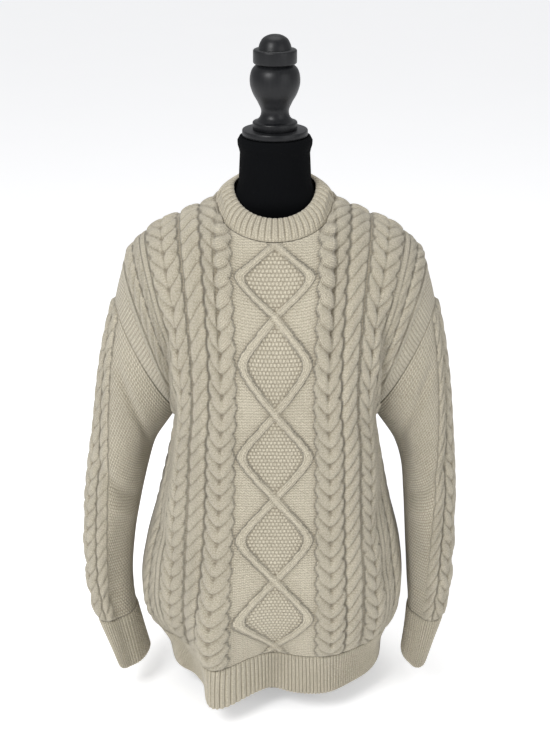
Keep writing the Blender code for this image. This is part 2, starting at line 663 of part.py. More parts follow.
def sleeve_ground(side, share, t):
    """Points of a sleeve's ground surface, drawn onto the armhole at its top."""
    share, t = np.broadcast_arrays(np.asarray(share, float), np.asarray(t, float))
    points = sleeve_ring(side, share, t)
    front = (share * side < 0)[..., None]
    turn = 1 - np.abs(share)
    loop = np.where(front, armhole(side, FRONT_SIGN, turn)[0], armhole(side, BACK_SIGN, turn)[0])
    loop = loop + ARMHOLE_SHIFT * sleeve_direction(side)
    pull = smooth((t - 0.44) / (SLEEVE_LENGTH - 0.44))[..., None]
    return points + pull * (loop - sleeve_ring(side, share, np.full_like(t, SLEEVE_LENGTH)))


def sleeve_normal(side, share, t):
    """Outward normals of a sleeve's ground surface, level round the cuff."""
    share, t = np.broadcast_arrays(np.asarray(share, float), np.asarray(t, float))
    step = 0.003
    t_in = np.clip(t, step, SLEEVE_LENGTH - step)
    ds = sleeve_ground(side, share + 0.01, t_in) - sleeve_ground(side, share - 0.01, t_in)
    dt = sleeve_ground(side, share, t_in + step) - sleeve_ground(side, share, t_in - step)
    normal = unit(np.cross(ds, dt))
    normal[..., 2] *= smooth((t - CUFF_RIB) / 0.05)
    return unit(normal)


def armhole_ring(side):
    """Seam points round an armhole in a sleeve's order, with the step to the inner face of each."""
    signs = (FRONT_SIGN, BACK_SIGN) if side > 0 else (BACK_SIGN, FRONT_SIGN)
    rows = armhole_rows()
    shift = ARMHOLE_SHIFT * sleeve_direction(side)
    shares, points, insets = [], [], []
    for part, sign in enumerate(signs):
        heights = rows[:-1] if part == 0 else rows[:0:-1]
        edge = side * -sign * PANEL_HALF
        turn = (heights - UNDERARM) / (ARMHOLE_TOP - UNDERARM)
        shares.extend(turn - 1 if part == 0 else 1 - turn)
        points.extend(armhole(side, sign, turn)[0] + shift)
        insets.extend(armhole_inset(sign, edge, heights))
    return np.array(shares), np.array(points), np.array(insets)


def sleeve_columns():
    """Columns round a sleeve: nominal place across, row step, and share of the spread outer part."""
    fixed = [(place, step, 0.0) for place, step in mirrored(SLEEVE_COLUMNS)]
    last = SLEEVE_COLUMNS[-1][0]
    left = [(-last, 2, -share) for share in reversed(SLEEVE_SPREAD)]
    right = [(last, 2, share) for share in SLEEVE_SPREAD[:-1]]
    return left + fixed + right


def closed(pairs):
    """A loop of (share, vertex) pairs, closed at share 1."""
    return pairs + [(1.0, pairs[0][1])]


def sleeve(name, side, look, collection):
    """One sleeve, from its cuff rib to the armhole."""
    wall = Wall()
    low = CUFF_RIB + SEAM_GAP
    columns = sleeve_columns()
    outer, outer_shares, top_shares = [], [], []
    for place, step, spread in columns:
        rows = np.arange(low + ROW, SLEEVE_LAST_ROW - ROW / 2, ROW * step)
        t = np.concatenate(([low], rows, [SLEEVE_LAST_ROW]))
        half = sleeve_half(t)
        s = place + spread * (half - abs(place))
        edge = np.minimum(t - CUFF_RIB, SLEEVE_LENGTH - t)
        height = cable_height(SLEEVE_CABLES, s, t - low) * smooth(edge / EDGE_FADE)
        share = s / half
        raised = height[:, None] * sleeve_normal(side, share, t)
        outer.append(wall.column(t, sleeve_ground(side, share, t) + raised))
        outer_shares.append(share[0])
        top_shares.append(share[-1])
    t = np.linspace(low, SLEEVE_LAST_ROW, SLEEVE_LINING_RINGS)
    half = sleeve_half(t)
    inner = []
    for place, _, spread in columns:
        share = (place + spread * (half - abs(place))) / half
        normal = sleeve_normal(side, share, t)
        inner.append(wall.column(t, sleeve_ground(side, share, t) - WALL * normal))
    seam_shares, seam, insets = armhole_ring(side)
    seam_outer = closed(wall.column(seam_shares, seam))
    seam_inner = closed(wall.column(seam_shares, seam + insets))
    middles = [place + 0.01 * spread for place, _, spread in columns]
    wall.sheet(outer + outer[:1], middles + [-middles[0]], SLEEVE_CABLES)
    wall.sheet(inner + inner[:1])
    wall.fill(closed(wall.ends(outer, top_shares, -1)), seam_outer)
    wall.fill(closed(wall.ends(inner, top_shares, -1)), seam_inner)
    for half in (slice(0, ARMHOLE_STEPS + 1), slice(2 * ARMHOLE_STEPS, ARMHOLE_STEPS - 1, -1)):
        rim = [[(k, pair[1]) for k, pair in enumerate(loop[half])] for loop in (seam_outer, seam_inner)]
        wall.fill(*rim)
    wall.fill(closed(wall.ends(outer, outer_shares, 0)), closed(wall.ends(inner, outer_shares, 0)))
    return wall.build(name, look, collection)


def rib_tube(name, count, heights, seam_fade, lining, place, look, collection):
    """Closed ribbed tube. `place` gives points and the inward step at a share round and a height.

    `seam_fade` scales the ribs at each height: they flatten into the seam.
    """
    wall = Wall()
    shares, ridge = rib_shares(count)
    outer, inner = [], []
    for u, h in zip(shares[:-1], ridge[:-1]):
        points, inset = place(2 * u - 1, heights)
        outer.append(wall.column(heights, points - h * seam_fade[:, None] * unit(inset)))
    lining_shares = np.arange(lining) / lining
    for u in lining_shares:
        points, inset = place(2 * u - 1, heights)
        inner.append(wall.column(heights, points + inset))
    wall.sheet(outer + outer[:1])
    wall.sheet(inner + inner[:1])
    for end in (0, -1):
        wall.fill(closed(wall.ends(outer, shares, end)), closed(wall.ends(inner, lining_shares, end)))
    return wall.build(name, look, collection)


def cuff(name, side, look, collection):
    """Ribbed cuff of one sleeve."""
    def place(share, t):
        """Points of the cuff and the step to its inner face."""
        return sleeve_ground(side, share, t), -WALL * sleeve_normal(side, share, t)

    heights = np.array((0.0, CUFF_RIB / 2, CUFF_RIB))
    return rib_tube(name, CUFF_RIBS, heights, np.ones(3), CUFF_LINING_COLUMNS, place, look, collection)


def neck_foot(sign, s):
    """Outer and inner points of a panel's neckline, read along the straight edges between columns."""
    lines = []
    linings = [(place, 2) for place in PANEL_LINING_COLUMNS]
    for half_columns, wall in ((PANEL_COLUMNS, 0.0), (linings, WALL)):
        knots = np.array([place for place, _ in mirrored(half_columns) if abs(place) <= NECK_HALF])
        top = panel_top(sign, knots)
        points = body_ground(sign, knots, top) - wall * body_normal(sign, knots, top)
        lines.append(np.stack([np.interp(s, knots, points[:, k]) for k in range(3)], -1))
    return lines


def band_place(share, v):
    """Points of the neckband at a share round and up, and the step to its inner face."""
    sign = FRONT_SIGN if share < 0 else BACK_SIGN
    alpha = np.full_like(v, np.pi * ((share + 1 if share < 0 else share) - 0.5))
    foot, foot_inner = neck_foot(sign, NECK_HALF * np.sin(alpha))
    side_x, side_z = BAND_TOP_SIDE
    depth, level = BAND_TOP[sign]
    rim = np.stack((-sign * side_x * np.sin(alpha), sign * depth * np.cos(alpha),
                    side_z - (side_z - level) * np.cos(alpha)), -1)
    rim_normal = unit(np.stack((-sign * np.sin(alpha), sign * np.cos(alpha), 0.35 + 0 * alpha), -1))
    up = v[:, None]
    inset = (1 - up) * (foot_inner - foot) - up * BAND_WALL * rim_normal
    lift = BAND_LIFT + (BAND_SIDE_LIFT - BAND_LIFT) * np.sin(alpha[:, None]) ** 8
    start = foot + lift * unit(rim - foot)
    bulge = BAND_BULGE * np.sin(np.pi * up)
    return start + up * (rim - start) - bulge * unit(inset), inset


def neckband(name, look, collection):
    """Ribbed band round the neck."""
    heights = np.array((0.0, 0.45, 1.0))
    fade = np.array((0.0, 1.0, 1.0))
    return rib_tube(name, NECK_RIBS, heights, fade, NECK_LINING_COLUMNS, band_place, look, collection)


def form_torso(name, look, collection):
    """Limbless torso with a flat bottom and a padded roll round the top of its neck."""
    points, faces = [], []
    angle = np.arange(FORM_SIDES) * 2 * np.pi / FORM_SIDES
    for level, half_x, front, back in FORM_SECTIONS:
        depth = np.where(np.sin(angle) < 0, front, back)
        ring = np.stack((half_x * np.cos(angle), depth * np.sin(angle), np.full(FORM_SIDES, level)), -1)
        points.extend(ring.tolist())
    for row in range(len(FORM_SECTIONS) - 1):
        for k in range(FORM_SIDES):
            a, b = row * FORM_SIDES + k, row * FORM_SIDES + (k + 1) % FORM_SIDES
            faces.append((a, b, b + FORM_SIDES, a + FORM_SIDES))
    faces.append(tuple(reversed(range(FORM_SIDES))))
    faces.append(tuple(range(len(points) - FORM_SIDES, len(points))))
    mesh = bpy.data.meshes.new(name)
    mesh.from_pydata(points, [], faces)
    mesh.shade_smooth()
    mesh.set_sharp_from_angle(angle=0.9)
    mesh.materials.append(look)
    torso = bpy.data.objects.new(name, mesh)
    collection.objects.link(torso)
    return torso


def neck_plate(name, look, collection):
    """Round wooden plate on top of the neck."""
    middle = (PLATE_TOP + PLATE_BOTTOM) / 2
    bpy.ops.mesh.primitive_cylinder_add(vertices=PLATE_SIDES, radius=PLATE_RADIUS,
                                        depth=PLATE_TOP - PLATE_BOTTOM, location=(0, 0, middle))
    plate = bpy.context.object
    plate.name = plate.data.name = name
    plate.data.shade_smooth()
    plate.data.set_sharp_from_angle(angle=0.9)
    plate.data.materials.append(look)
    plate.users_collection[0].objects.unlink(plate)
    collection.objects.link(plate)
    return plate


def finial(name, look, collection):
    """Turned wooden finial on the plate."""
    mesh = bpy.data.meshes.new(name)
    points = [(radius, 0.0, level) for radius, level in FINIAL_PROFILE]
    mesh.from_pydata(points, [(k, k + 1) for k in range(len(points) - 1)], [])
    mesh.materials.append(look)
    turned = bpy.data.objects.new(name, mesh)
    collection.objects.link(turned)
    screw = turned.modifiers.new("Turn", "SCREW")
    screw.steps = screw.render_steps = FINIAL_STEPS
    screw.use_merge_vertices = True
    screw.merge_threshold = 0.0001
    screw.use_smooth_shade = True
    return turned


def material(name, colour, roughness, coat=0.0):
    """A Principled material of one colour."""
    look = bpy.data.materials.new(name)
    look.use_nodes = True
    shader = look.node_tree.nodes["Principled BSDF"]
    shader.inputs["Base Color"].default_value = (*colour, 1.0)
    shader.inputs["Roughness"].default_value = roughness
    shader.inputs["Metallic"].default_value = 0.0
    shader.inputs["Coat Weight"].default_value = coat
    look.diffuse_color = (*colour, 1.0)
    return look


def main():
    """Clear the scene and build every piece."""
    for thing in list(bpy.data.objects):
        bpy.data.objects.remove(thing, do_unlink=True)
    collection = bpy.data.collections.new(COLLECTION_NAME)
    bpy.context.scene.collection.children.link(collection)
    wool = material("Oatmeal wool", (0.56, 0.50, 0.40), 0.9)
    jersey = material("Black jersey", (0.006, 0.006, 0.007), 0.85)
    lacquer = material("Black lacquered wood", (0.008, 0.008, 0.009), 0.3, 0.4)
    body_panel("front_panel", FRONT_SIGN, wool, collection)
    body_panel("back_panel", BACK_SIGN, wool, collection)
    hem_rib("hem_rib_front", FRONT_SIGN, wool, collection)
    hem_rib("hem_rib_back", BACK_SIGN, wool, collection)
    for side, word in ((-1, "left"), (1, "right")):
        sleeve("sleeve_" + word, side, wool, collection)
        cuff("cuff_" + word, side, wool, collection)
    neckband("neckband", wool, collection)
    form_torso("form_torso", jersey, collection)
    neck_plate("neck_plate", lacquer, collection)
    finial("finial", lacquer, collection)


main()
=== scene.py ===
"""Dressed scene of a cable knit sweater worn by a black limbless dress form.

Everything is in metres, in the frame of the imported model: +Z up, the front faces -Y, and +X is the
viewer's right. Cloth is described in pattern coordinates: `s` runs across a piece from its middle
line and `t` runs up from its lower edge. A knitted piece is one closed shell: a ground surface, the
stitch pattern raised along its normals, rolled or cut edges, and a plain inner face.
"""
import logging
import math
from dataclasses import dataclass, field
from enum import Enum

import bpy
import numpy as np
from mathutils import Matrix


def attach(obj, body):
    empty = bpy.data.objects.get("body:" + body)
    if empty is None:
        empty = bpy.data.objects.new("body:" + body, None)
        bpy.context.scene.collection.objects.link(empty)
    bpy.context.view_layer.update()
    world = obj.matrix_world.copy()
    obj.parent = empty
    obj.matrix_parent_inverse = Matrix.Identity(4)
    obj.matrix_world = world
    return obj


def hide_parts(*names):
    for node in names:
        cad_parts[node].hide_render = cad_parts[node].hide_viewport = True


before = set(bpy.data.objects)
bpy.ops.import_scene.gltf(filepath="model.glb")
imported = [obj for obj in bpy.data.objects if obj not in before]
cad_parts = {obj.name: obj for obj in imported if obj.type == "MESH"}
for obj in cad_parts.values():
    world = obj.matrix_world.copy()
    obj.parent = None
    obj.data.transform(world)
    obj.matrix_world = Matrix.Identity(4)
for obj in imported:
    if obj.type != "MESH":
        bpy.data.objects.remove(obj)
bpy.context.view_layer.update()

Array = np.ndarray
log = logging.getLogger("sweater")


class Face(Enum):
    """Front or back of the body, by the sign of its Y side."""
    FRONT = -1
    BACK = 1


class Side(Enum):
    """Viewer's left or right, by the sign of its X side."""
    LEFT = -1
    RIGHT = 1


class Kind(Enum):
    """Kinds of cable: a V of paired strands, or a rope."""
    V = "v"
    ROPE = "rope"


# ---------------------------------------------------------------- plain maths

def smooth(x: Array) -> Array:
    """Ease from 0 to 1 as x goes from 0 to 1: three x squared less two x cubed."""
    x = np.clip(x, 0.0, 1.0)
    return x * x * (3 - 2 * x)


def curve(knots: Array, values: Array, x: Array) -> Array:
    """Cubic Hermite curve through the values at the knots, with central slopes, read at x."""
    slopes = np.gradient(values, knots)
    i = np.clip(np.searchsorted(knots, x) - 1, 0, len(knots) - 2)
    width = knots[i + 1] - knots[i]
    u = (x - knots[i]) / width
    a, b = values[i], values[i + 1]
    ma, mb = slopes[i] * width, slopes[i + 1] * width
    return ((2 * u**3 - 3 * u**2 + 1) * a + (u**3 - 2 * u**2 + u) * ma
            + (3 * u**2 - 2 * u**3) * b + (u**3 - u**2) * mb)


def unit(v: Array) -> Array:
    """Vectors scaled to length 1."""
    return v / np.linalg.norm(v, axis=-1, keepdims=True)


def fract(x: Array) -> Array:
    """Part of x above the whole number below it."""
    return x - np.floor(x)


def bell(x: Array) -> Array:
    """Bell curve: e to the power of minus x squared."""
    return np.exp(-x * x)


def ease_along(t: Array, low: float, high: float, strongest: float) -> Array:
    """Strength along a fold: 0 at both ends, easing to 1 at its strongest place."""
    rise = smooth((t - low) / (strongest - low))
    fall = smooth((high - t) / (high - strongest))
    return np.where(t < strongest, rise, fall)


def blurred(values: Array, reach: int, wrap: bool) -> Array:
    """Box blur of a grid over 2 reach + 1 cells each way.

    Args:
        values: Grid of numbers.
        reach: Cells on each side.
        wrap: Whether the columns close on themselves.

    Returns:
        The blurred grid, of the same shape.
    """
    kernel = np.ones(2 * reach + 1) / (2 * reach + 1)
    for axis in (0, 1):
        mode = "wrap" if wrap and axis == 1 else "edge"
        pad = [(reach, reach) if k == axis else (0, 0) for k in (0, 1)]
        padded = np.pad(values, pad, mode=mode)
        values = np.apply_along_axis(lambda line: np.convolve(line, kernel, "valid"), axis, padded)
    return values


# ---------------------------------------------------------------- stitches

@dataclass(frozen=True)
class Crease:
    """Soft trough or ridge between two places of a piece's pattern."""
    start: tuple[float, float]
    end: tuple[float, float]
    width: float
    depth: float

    def push(self, s: Array, t: Array) -> Array:
        """Outward push at each place: the depth times a bell of the distance from the line.

        Args:
            s: Places across.
            t: Places up.

        Returns:
            The push in metres, easing out towards both ends of the line.
        """
        a, b = np.array(self.start), np.array(self.end)
        run = b - a
        along = ((s - a[0]) * run[0] + (t - a[1]) * run[1]) / (run @ run)
        held = np.clip(along, 0, 1)
        away = np.hypot(s - a[0] - held * run[0], t - a[1] - held * run[1])
        return self.depth * bell(away / self.width) * (0.35 + 0.65 * np.sin(np.pi * held) ** 0.7)


@dataclass(frozen=True)
class Cable:
    """One cable: its middle line, half width, height and kind."""
    centre: float
    half: float
    top: float
    kind: Kind


@dataclass(frozen=True)
class Knit:
    """Stitch pattern of a piece, raised above the ground knit."""
    cables: tuple[Cable, ...]
    pitch: float = 0.0245
    stitch_width: float = 0.0052
    stitch_height: float = 0.0040
    band_height: float = 0.0034
    diamond_half: float = 0.047
    diamond_length: float = 0.1275
    diamond_start: float = 0.013
    full_diamonds: int = 4
    top_diamond: float = 0.0920
    corner_softness: float = 0.03
    least_scallop: float = 0.84
    scallop_swing: float = 0.19
    strand_half: float = 0.0072
    diamonds: bool = False
    moss_from: float = 9.0
    ridges: tuple[float, ...] = ()

    def strand_phase(self, cable: Cable, across: Array, up: Array) -> Array:
        """Strand count along a cable at a place `across` (-1 to 1), `up` metres above a crossing."""
        if cable.kind is Kind.V:
            a = np.abs(across)
            return up / self.pitch - (0.72 * a + 0.28 * a * a)
        return up / self.pitch - 0.5 * across - 0.09 * np.sin(np.pi * across)

    def scallop(self, cable: Cable, up: Array) -> Array:
        """Share of a cable's half width: a sine of the edge's phase, so each strand bulges out."""
        start = 0.0 if cable.kind is Kind.V else 0.5
        bulge = np.abs(np.sin(np.pi * fract(up / self.pitch - start))) ** 0.7
        return self.least_scallop + self.scallop_swing * bulge

    def pattern(self, s: Array, up: Array) -> tuple[Array, Array, Array, Array, Array]:
        """Raised height and stitch coordinates of the pattern.

        A strand's section is a power of a parabola of its phase, tilted so that its upper end stands
        higher and laps over the next. A rope's body is a power of a parabola across, and a V adds a
        half ellipse for each arm. A diamond's bands follow a triangle wave with rounded corners.

        Args:
            s: Places across.
            up: Metres above the first crossing.

        Returns:
            Height, stitch coordinates across and up, purl mask and moss mask.
        """
        height = np.zeros(s.shape)
        across_stitches = s / self.stitch_width
        up_stitches = up / self.stitch_height
        purl = np.ones(s.shape)
        moss = (np.abs(s) > self.moss_from).astype(float)
        for cable in self.cables:
            across = (s - cable.centre) / (cable.half * self.scallop(cable, up))
            inside = np.clip(1 - across**2, 0, 1)
            phase = self.strand_phase(cable, across, up)
            part = fract(phase)
            plump = np.clip(1 - (2 * part**0.82 - 1) ** 2, 0, 1) ** 0.62 * (0.84 + 0.22 * part)
            if cable.kind is Kind.V:
                a = np.abs(across)
                arm = np.sqrt(np.clip(1 - (2 * a - 1) ** 2, 0, 1))
                section = 0.42 * arm + 0.58 * inside**0.55
                eye = bell((s - cable.centre) / 0.0026) * bell((fract(up / self.pitch + 0.42) - 0.42) / 0.16)
                height -= 0.0026 * eye
            else:
                section = inside**0.55
            height += cable.top * section * (0.20 + 0.80 * plump)
            on = inside > 0
            across_stitches = np.where(on, 4 * phase, across_stitches)
            purl = np.where(on, 0.0, purl)
            moss = np.where(on, 0.0, moss)
        for ridge in self.ridges:
            beside = (np.abs(s) - ridge) / 0.0046
            height += 0.0013 * np.sqrt(np.clip(1 - beside**2, 0, 1))
            purl = np.where(np.abs(beside) < 1, 0.0, purl)
            across_stitches = np.where(np.abs(beside) < 1, beside, across_stitches)
        if self.diamonds:
            raised, gap, within = self.diamond(s, up)
            height += raised
            on = gap < 1
            across_stitches = np.where(on, gap, across_stitches)
            purl = np.where(on, 0.0, purl)
            moss = np.where(within & ~on, 1.0, moss)
        return height, across_stitches, up_stitches, purl, moss

    def diamond(self, s: Array, up: Array) -> tuple[Array, Array, Array]:
        """Crossing bands of the diamonds.

        Args:
            s: Places across.
            up: Metres above the first crossing.

        Returns:
            Height, distance from the nearest band's middle in half widths, and where the inside is.
        """
        above = up - self.diamond_start - self.full_diamonds * self.diamond_length
        turn = np.where(above > 0, self.full_diamonds + above / self.top_diamond,
                        (up - self.diamond_start) / self.diamond_length)
        part = fract(turn)
        soft = math.sqrt(self.corner_softness)
        full = math.sqrt(1 + self.corner_softness) - soft
        corner = (np.sqrt((2 * part - 1) ** 2 + self.corner_softness) - soft) / full
        reach = self.diamond_half * np.clip(1 - corner, 0, 1)
        rising = np.where(part > 0.5, np.abs(s - reach), np.abs(s + reach)) / self.strand_half
        falling = np.where(part > 0.5, np.abs(s + reach), np.abs(s - reach)) / self.strand_half
        near = bell(np.minimum(part, 1 - part) * self.diamond_length / 0.011)
        over = (self.band_height + 0.0012 * near) * np.sqrt(np.clip(1 - rising**2, 0, 1))
        under = self.band_height * np.sqrt(np.clip(1 - falling**2, 0, 1))
        under = under * (1 - 0.75 * near * (rising > 0.85) * bell((rising - 0.85) / 0.5))
        within = np.abs(s) < reach
        raised = np.maximum(np.maximum(over, under), 0.0007 * within)
        return raised, np.minimum(rising, falling), within


@dataclass
class Cloth:
    """One knitted piece on a grid: rows run up, columns across."""
    ground: Array
    inset: Array
    height: Array
    across: Array
    up: Array
    purl: Array
    moss: Array
    closed: bool = False

    def outer(self) -> Array:
        """Points of the face: the ground plus the height against the inset's direction."""
        return self.ground - self.height[..., None] * unit(self.inset)

    def hollow(self) -> Array:
        """How deep each place lies below its neighbours, 0 to 1: blurred height less height. It drives
        painted shade in the wool's colour.
        """
        near = blurred(self.height, 2, self.closed) - self.height
        wide = blurred(self.height, 5, self.closed) - self.height
        return np.clip(0.55 * near / 0.0011 + 0.45 * wide / 0.0022, 0, 1)


@dataclass
class Shell:
    """Closed shell of a knitted piece, made by carrying its section round and across."""
    name: str
    cloth: Cloth
    inner_rows: int = 22
    arc_top: int = 0
    arc_bottom: int = 0

    def arc(self, outer: Array, inner: Array, beyond: Array, count: int) -> Array:
        """Rows of a half circle from an outer edge to an inner edge.

        Args:
            outer: Points of the outer edge.
            inner: Points of the inner edge.
            beyond: Unit direction out of the piece at the edge.
            count: Rows to make.

        Returns:
            count rows of points.
        """
        turn = np.pi * (np.arange(count) + 1) / (count + 1)
        middle, half = (outer + inner) / 2, (outer - inner) / 2
        radius = np.linalg.norm(half, axis=-1, keepdims=True)
        cos, sin = np.cos(turn)[:, None, None], np.sin(turn)[:, None, None]
        return middle + half * cos + beyond * radius * sin

    def build(self, look: bpy.types.Material) -> bpy.types.Object:
        """Make the shell a named object with a stitch UV map and masks.

        Args:
            look: Its material.

        Returns:
            The object, at the origin.
        """
        cloth = self.cloth
        outer = cloth.outer()
        rows, columns = outer.shape[:2]
        kept = np.unique(np.linspace(0, rows - 1, self.inner_rows).round().astype(int))[::-1]
        inner = (cloth.ground + cloth.inset)[kept]
        up_way, down_way = unit(outer[-1] - outer[-4]), unit(outer[0] - outer[3])
        top = self.arc(outer[-1], inner[0], up_way, self.arc_top)
        bottom = self.arc(inner[-1], outer[0], down_way, self.arc_bottom)
        points = np.concatenate((outer, top, inner, bottom))
        source = np.concatenate((np.arange(rows), np.full(self.arc_top, rows - 1), kept,
                                 np.zeros(self.arc_bottom, int)))
        total = len(points)
        first_inner = rows + self.arc_top
        inner_face = np.isin(np.arange(total), np.arange(first_inner, first_inner + len(kept)))
        width = columns if cloth.closed else columns - 1
        r, c = np.meshgrid(np.arange(total), np.arange(width), indexing="ij")
        r_next, c_next = (r + 1) % total, (c + 1) % columns
        quads = np.stack((r * columns + c, r * columns + c_next,
                          r_next * columns + c_next, r_next * columns + c), -1).reshape(-1, 4)
        uv_rows = np.stack((r, r, r_next, r_next), -1).reshape(-1, 4)
        uv_columns = np.stack((c, c + 1, c + 1, c), -1).reshape(-1, 4)
        uv = np.stack((cloth.across[source][uv_rows, uv_columns], cloth.up[source][uv_rows, uv_columns]), -1)
        faces, loops_uv = quads.tolist(), [uv.reshape(-1, 2)]
        if not cloth.closed:
            caps = self.caps(rows, columns, kept)
            faces += caps.tolist()
            flat = caps.reshape(-1)
            loops_uv.append(np.stack((cloth.across[source].reshape(-1)[flat],
                                      cloth.up[source].reshape(-1)[flat]), -1))
        mesh = bpy.data.meshes.new(self.name)
        mesh.from_pydata(points.reshape(-1, 3), [], faces)
        layer = mesh.uv_layers.new(name="stitches")
        layer.data.foreach_set("uv", np.concatenate(loops_uv).astype(np.float32).ravel())
        # the hollow mask carries painted shade; the inner face gets a fixed 0.35 of it, painted shade inside
        # the piece
        masks = {"hollow": np.where(inner_face[:, None], 0.35, cloth.hollow()[source]),
                 "purl": np.where(inner_face[:, None], 1.0, cloth.purl[source]),
                 "moss": np.where(inner_face[:, None], 0.0, cloth.moss[source])}
        for word, values in masks.items():
            mask = mesh.attributes.new(word, "FLOAT", "POINT")
            mask.data.foreach_set("value", values.astype(np.float32).ravel())
        mesh.polygons.foreach_set("use_smooth", np.ones(len(mesh.polygons), bool))
        mesh.materials.append(look)
        mesh.update()
        thing = bpy.data.objects.new(self.name, mesh)
        bpy.context.scene.collection.objects.link(thing)
        return thing

    def caps(self, rows: int, columns: int, kept: Array) -> Array:
        """Triangles that close the two side edges between the outer and the inner face.

        Args:
            rows: Rows of the outer face.
            columns: Columns of the piece.
            kept: Outer rows that the inner face keeps, top to bottom.

        Returns:
            Vertex triples.
        """
        base = rows + self.arc_top
        order = np.arange(len(kept))[::-1]
        row_of = base + order
        i = np.arange(rows - 1)
        here = np.searchsorted(kept[::-1], i, side="right") - 1
        after = np.searchsorted(kept[::-1], i + 1, side="right") - 1
        made = []
        for column, turned in ((0, False), (columns - 1, True)):
            at = i * columns + column
            low, high = row_of[here] * columns + column, row_of[after] * columns + column
            first = np.stack((at, at + columns, high), -1)
            second = np.stack((at, high, low), -1)[low != high]
            both = np.concatenate((first, second))
            made.append(both[:, ::-1] if turned else both)
        return np.concatenate(made)


# ---------------------------------------------------------------- the garment's cut

WALL = 0.0040
SEAM_GAP = 0.0003


@dataclass
class BodyCut:
    """Ground surface of the two body panels, from the hem to the shoulders."""
    half: float = 0.290
    hem_rib: float = 0.068
    first_crossing: float = 0.0725
    underarm: float = 0.430
    armhole_top: float = 0.680
    neck_half: float = 0.080
    neck_point: float = 0.765
    # cloth keeps its true width in front and crowds at the sides: pace, its limits, and a power
    ring_pace: float = 1.55
    least_pace: float = 0.98
    most_pace: float = 1.35
    side_crowding: float = 2.2
    fold_fade: float = 0.06
    # cloth, level, half width left and right, depth front and back, squareness
    sections: Array = field(default_factory=lambda: np.array([
        (0.000, 0.040, 0.153, 0.157, 0.128, 0.118, 0.15),
        (0.035, 0.074, 0.160, 0.160, 0.130, 0.122, 0.20),
        (0.068, 0.104, 0.176, 0.170, 0.136, 0.128, 0.25),
        (0.100, 0.132, 0.192, 0.182, 0.146, 0.136, 0.30),
        (0.140, 0.168, 0.198, 0.188, 0.153, 0.140, 0.35),
        (0.200, 0.226, 0.190, 0.184, 0.156, 0.138, 0.42),
        (0.270, 0.292, 0.172, 0.168, 0.150, 0.130, 0.55),
        (0.350, 0.366, 0.152, 0.151, 0.139, 0.122, 0.75),
        (0.430, 0.440, 0.137, 0.137, 0.130, 0.118, 0.95),
    ]))
    # side, across, lean, width, depth, lowest, highest, strongest
    folds: tuple[tuple[float, ...], ...] = (
        (-1, -0.083, 0.05, 0.032, 0.054, -0.400, 0.330, 0.000),
        (-1, -0.005, 0.05, 0.030, -0.016, -0.300, 0.250, 0.000),
        (-1, 0.085, 0.00, 0.040, 0.010, -0.300, 0.260, 0.000),
        (-1, -0.175, 0.05, 0.030, -0.010, -0.200, 0.300, 0.060),
        (-1, 0.190, -0.05, 0.030, -0.008, 0.080, 0.420, 0.240),
        (1, -0.120, 0.05, 0.045, 0.018, -0.350, 0.330, 0.000),
        (1, 0.020, 0.00, 0.040, -0.014, -0.300, 0.260, 0.000),
        (1, 0.130, -0.05, 0.045, 0.016, -0.300, 0.300, 0.000),
    )
    # cloth across, place across, level
    shoulder: Array = field(default_factory=lambda: np.array([
        (0.080, 0.081, 0.738), (0.121, 0.120, 0.722), (0.162, 0.158, 0.705), (0.187, 0.181, 0.691),
        (0.221, 0.202, 0.665), (0.262, 0.216, 0.625), (0.290, 0.222, 0.600),
    ]))
    # depth and level in the middle of each neckline, and cloth height there
    neckline: dict[int, tuple[float, float, float]] = field(
        default_factory=lambda: {-1: (0.088, 0.705, 0.690), 1: (0.074, 0.742, 0.735)})
    armhole_depth: dict[int, float] = field(default_factory=lambda: {-1: 0.066, 1: 0.058})

    def __post_init__(self) -> None:
        """Walk a quarter ring with a flat front and a tight corner at an even pace."""
        q = np.linspace(0.0, 1.0, 257)
        heading = np.pi / 2 * smooth((q - 0.34) / 0.52)
        middle = (heading[1:] + heading[:-1]) / 2
        x = np.concatenate(([0.0], np.cumsum(np.cos(middle))))
        y = np.concatenate(([0.0], np.cumsum(np.sin(middle))))
        self.square_ring = (q, x / x[-1], 1 - y / y[-1])

    def ring(self, sign: int, s: Array, t: Array) -> Array:
        """Points below the underarm: a blend of an ellipse and a squarer ring, pushed by folds.

        The way round the ring is the share of the width times a pace, less a power of that share, so
        it still ends at the side seam.

        Args:
            sign: -1 for the front, 1 for the back.
            s: Places across.
            t: Cloth heights.

        Returns:
            Points, without the gap between the panels.
        """
        row = [curve(self.sections[:, 0], self.sections[:, k], t) for k in range(1, 7)]
        level, left, right, front, back, square = row
        q_table, x_table, y_table = self.square_ring
        share = np.abs(s) / self.half
        mean_half = (left + right) / 2
        pace = np.clip(self.half / (self.ring_pace * mean_half), self.least_pace, self.most_pace)
        q = pace * share - (pace - 1) * share**self.side_crowding
        x_share = (1 - square) * np.sin(np.pi / 2 * q) + square * np.interp(q, q_table, x_table)
        y_share = (1 - square) * np.cos(np.pi / 2 * q) + square * np.interp(q, q_table, y_table)
        world_side = -sign * s
        half = np.where(world_side < 0, left, right)
        depth = front if sign < 0 else back
        x, y = np.sign(world_side) * half * x_share, sign * depth * y_share
        out_x, out_y = np.sign(world_side) * x_share / half, sign * y_share / depth
        length = np.hypot(out_x, out_y)
        push = np.zeros_like(x)
        for fold_sign, across, lean, width, deep, low, high, strongest in self.folds:
            if fold_sign == sign:
                place = (np.sign(s) * q * self.half - across - lean * t) / width
                push += deep * bell(place) * ease_along(t, low, high, strongest)
        push *= smooth((self.half - np.abs(s)) / self.fold_fade)
        return np.stack((x + push * out_x / length, y + push * out_y / length, level), -1)

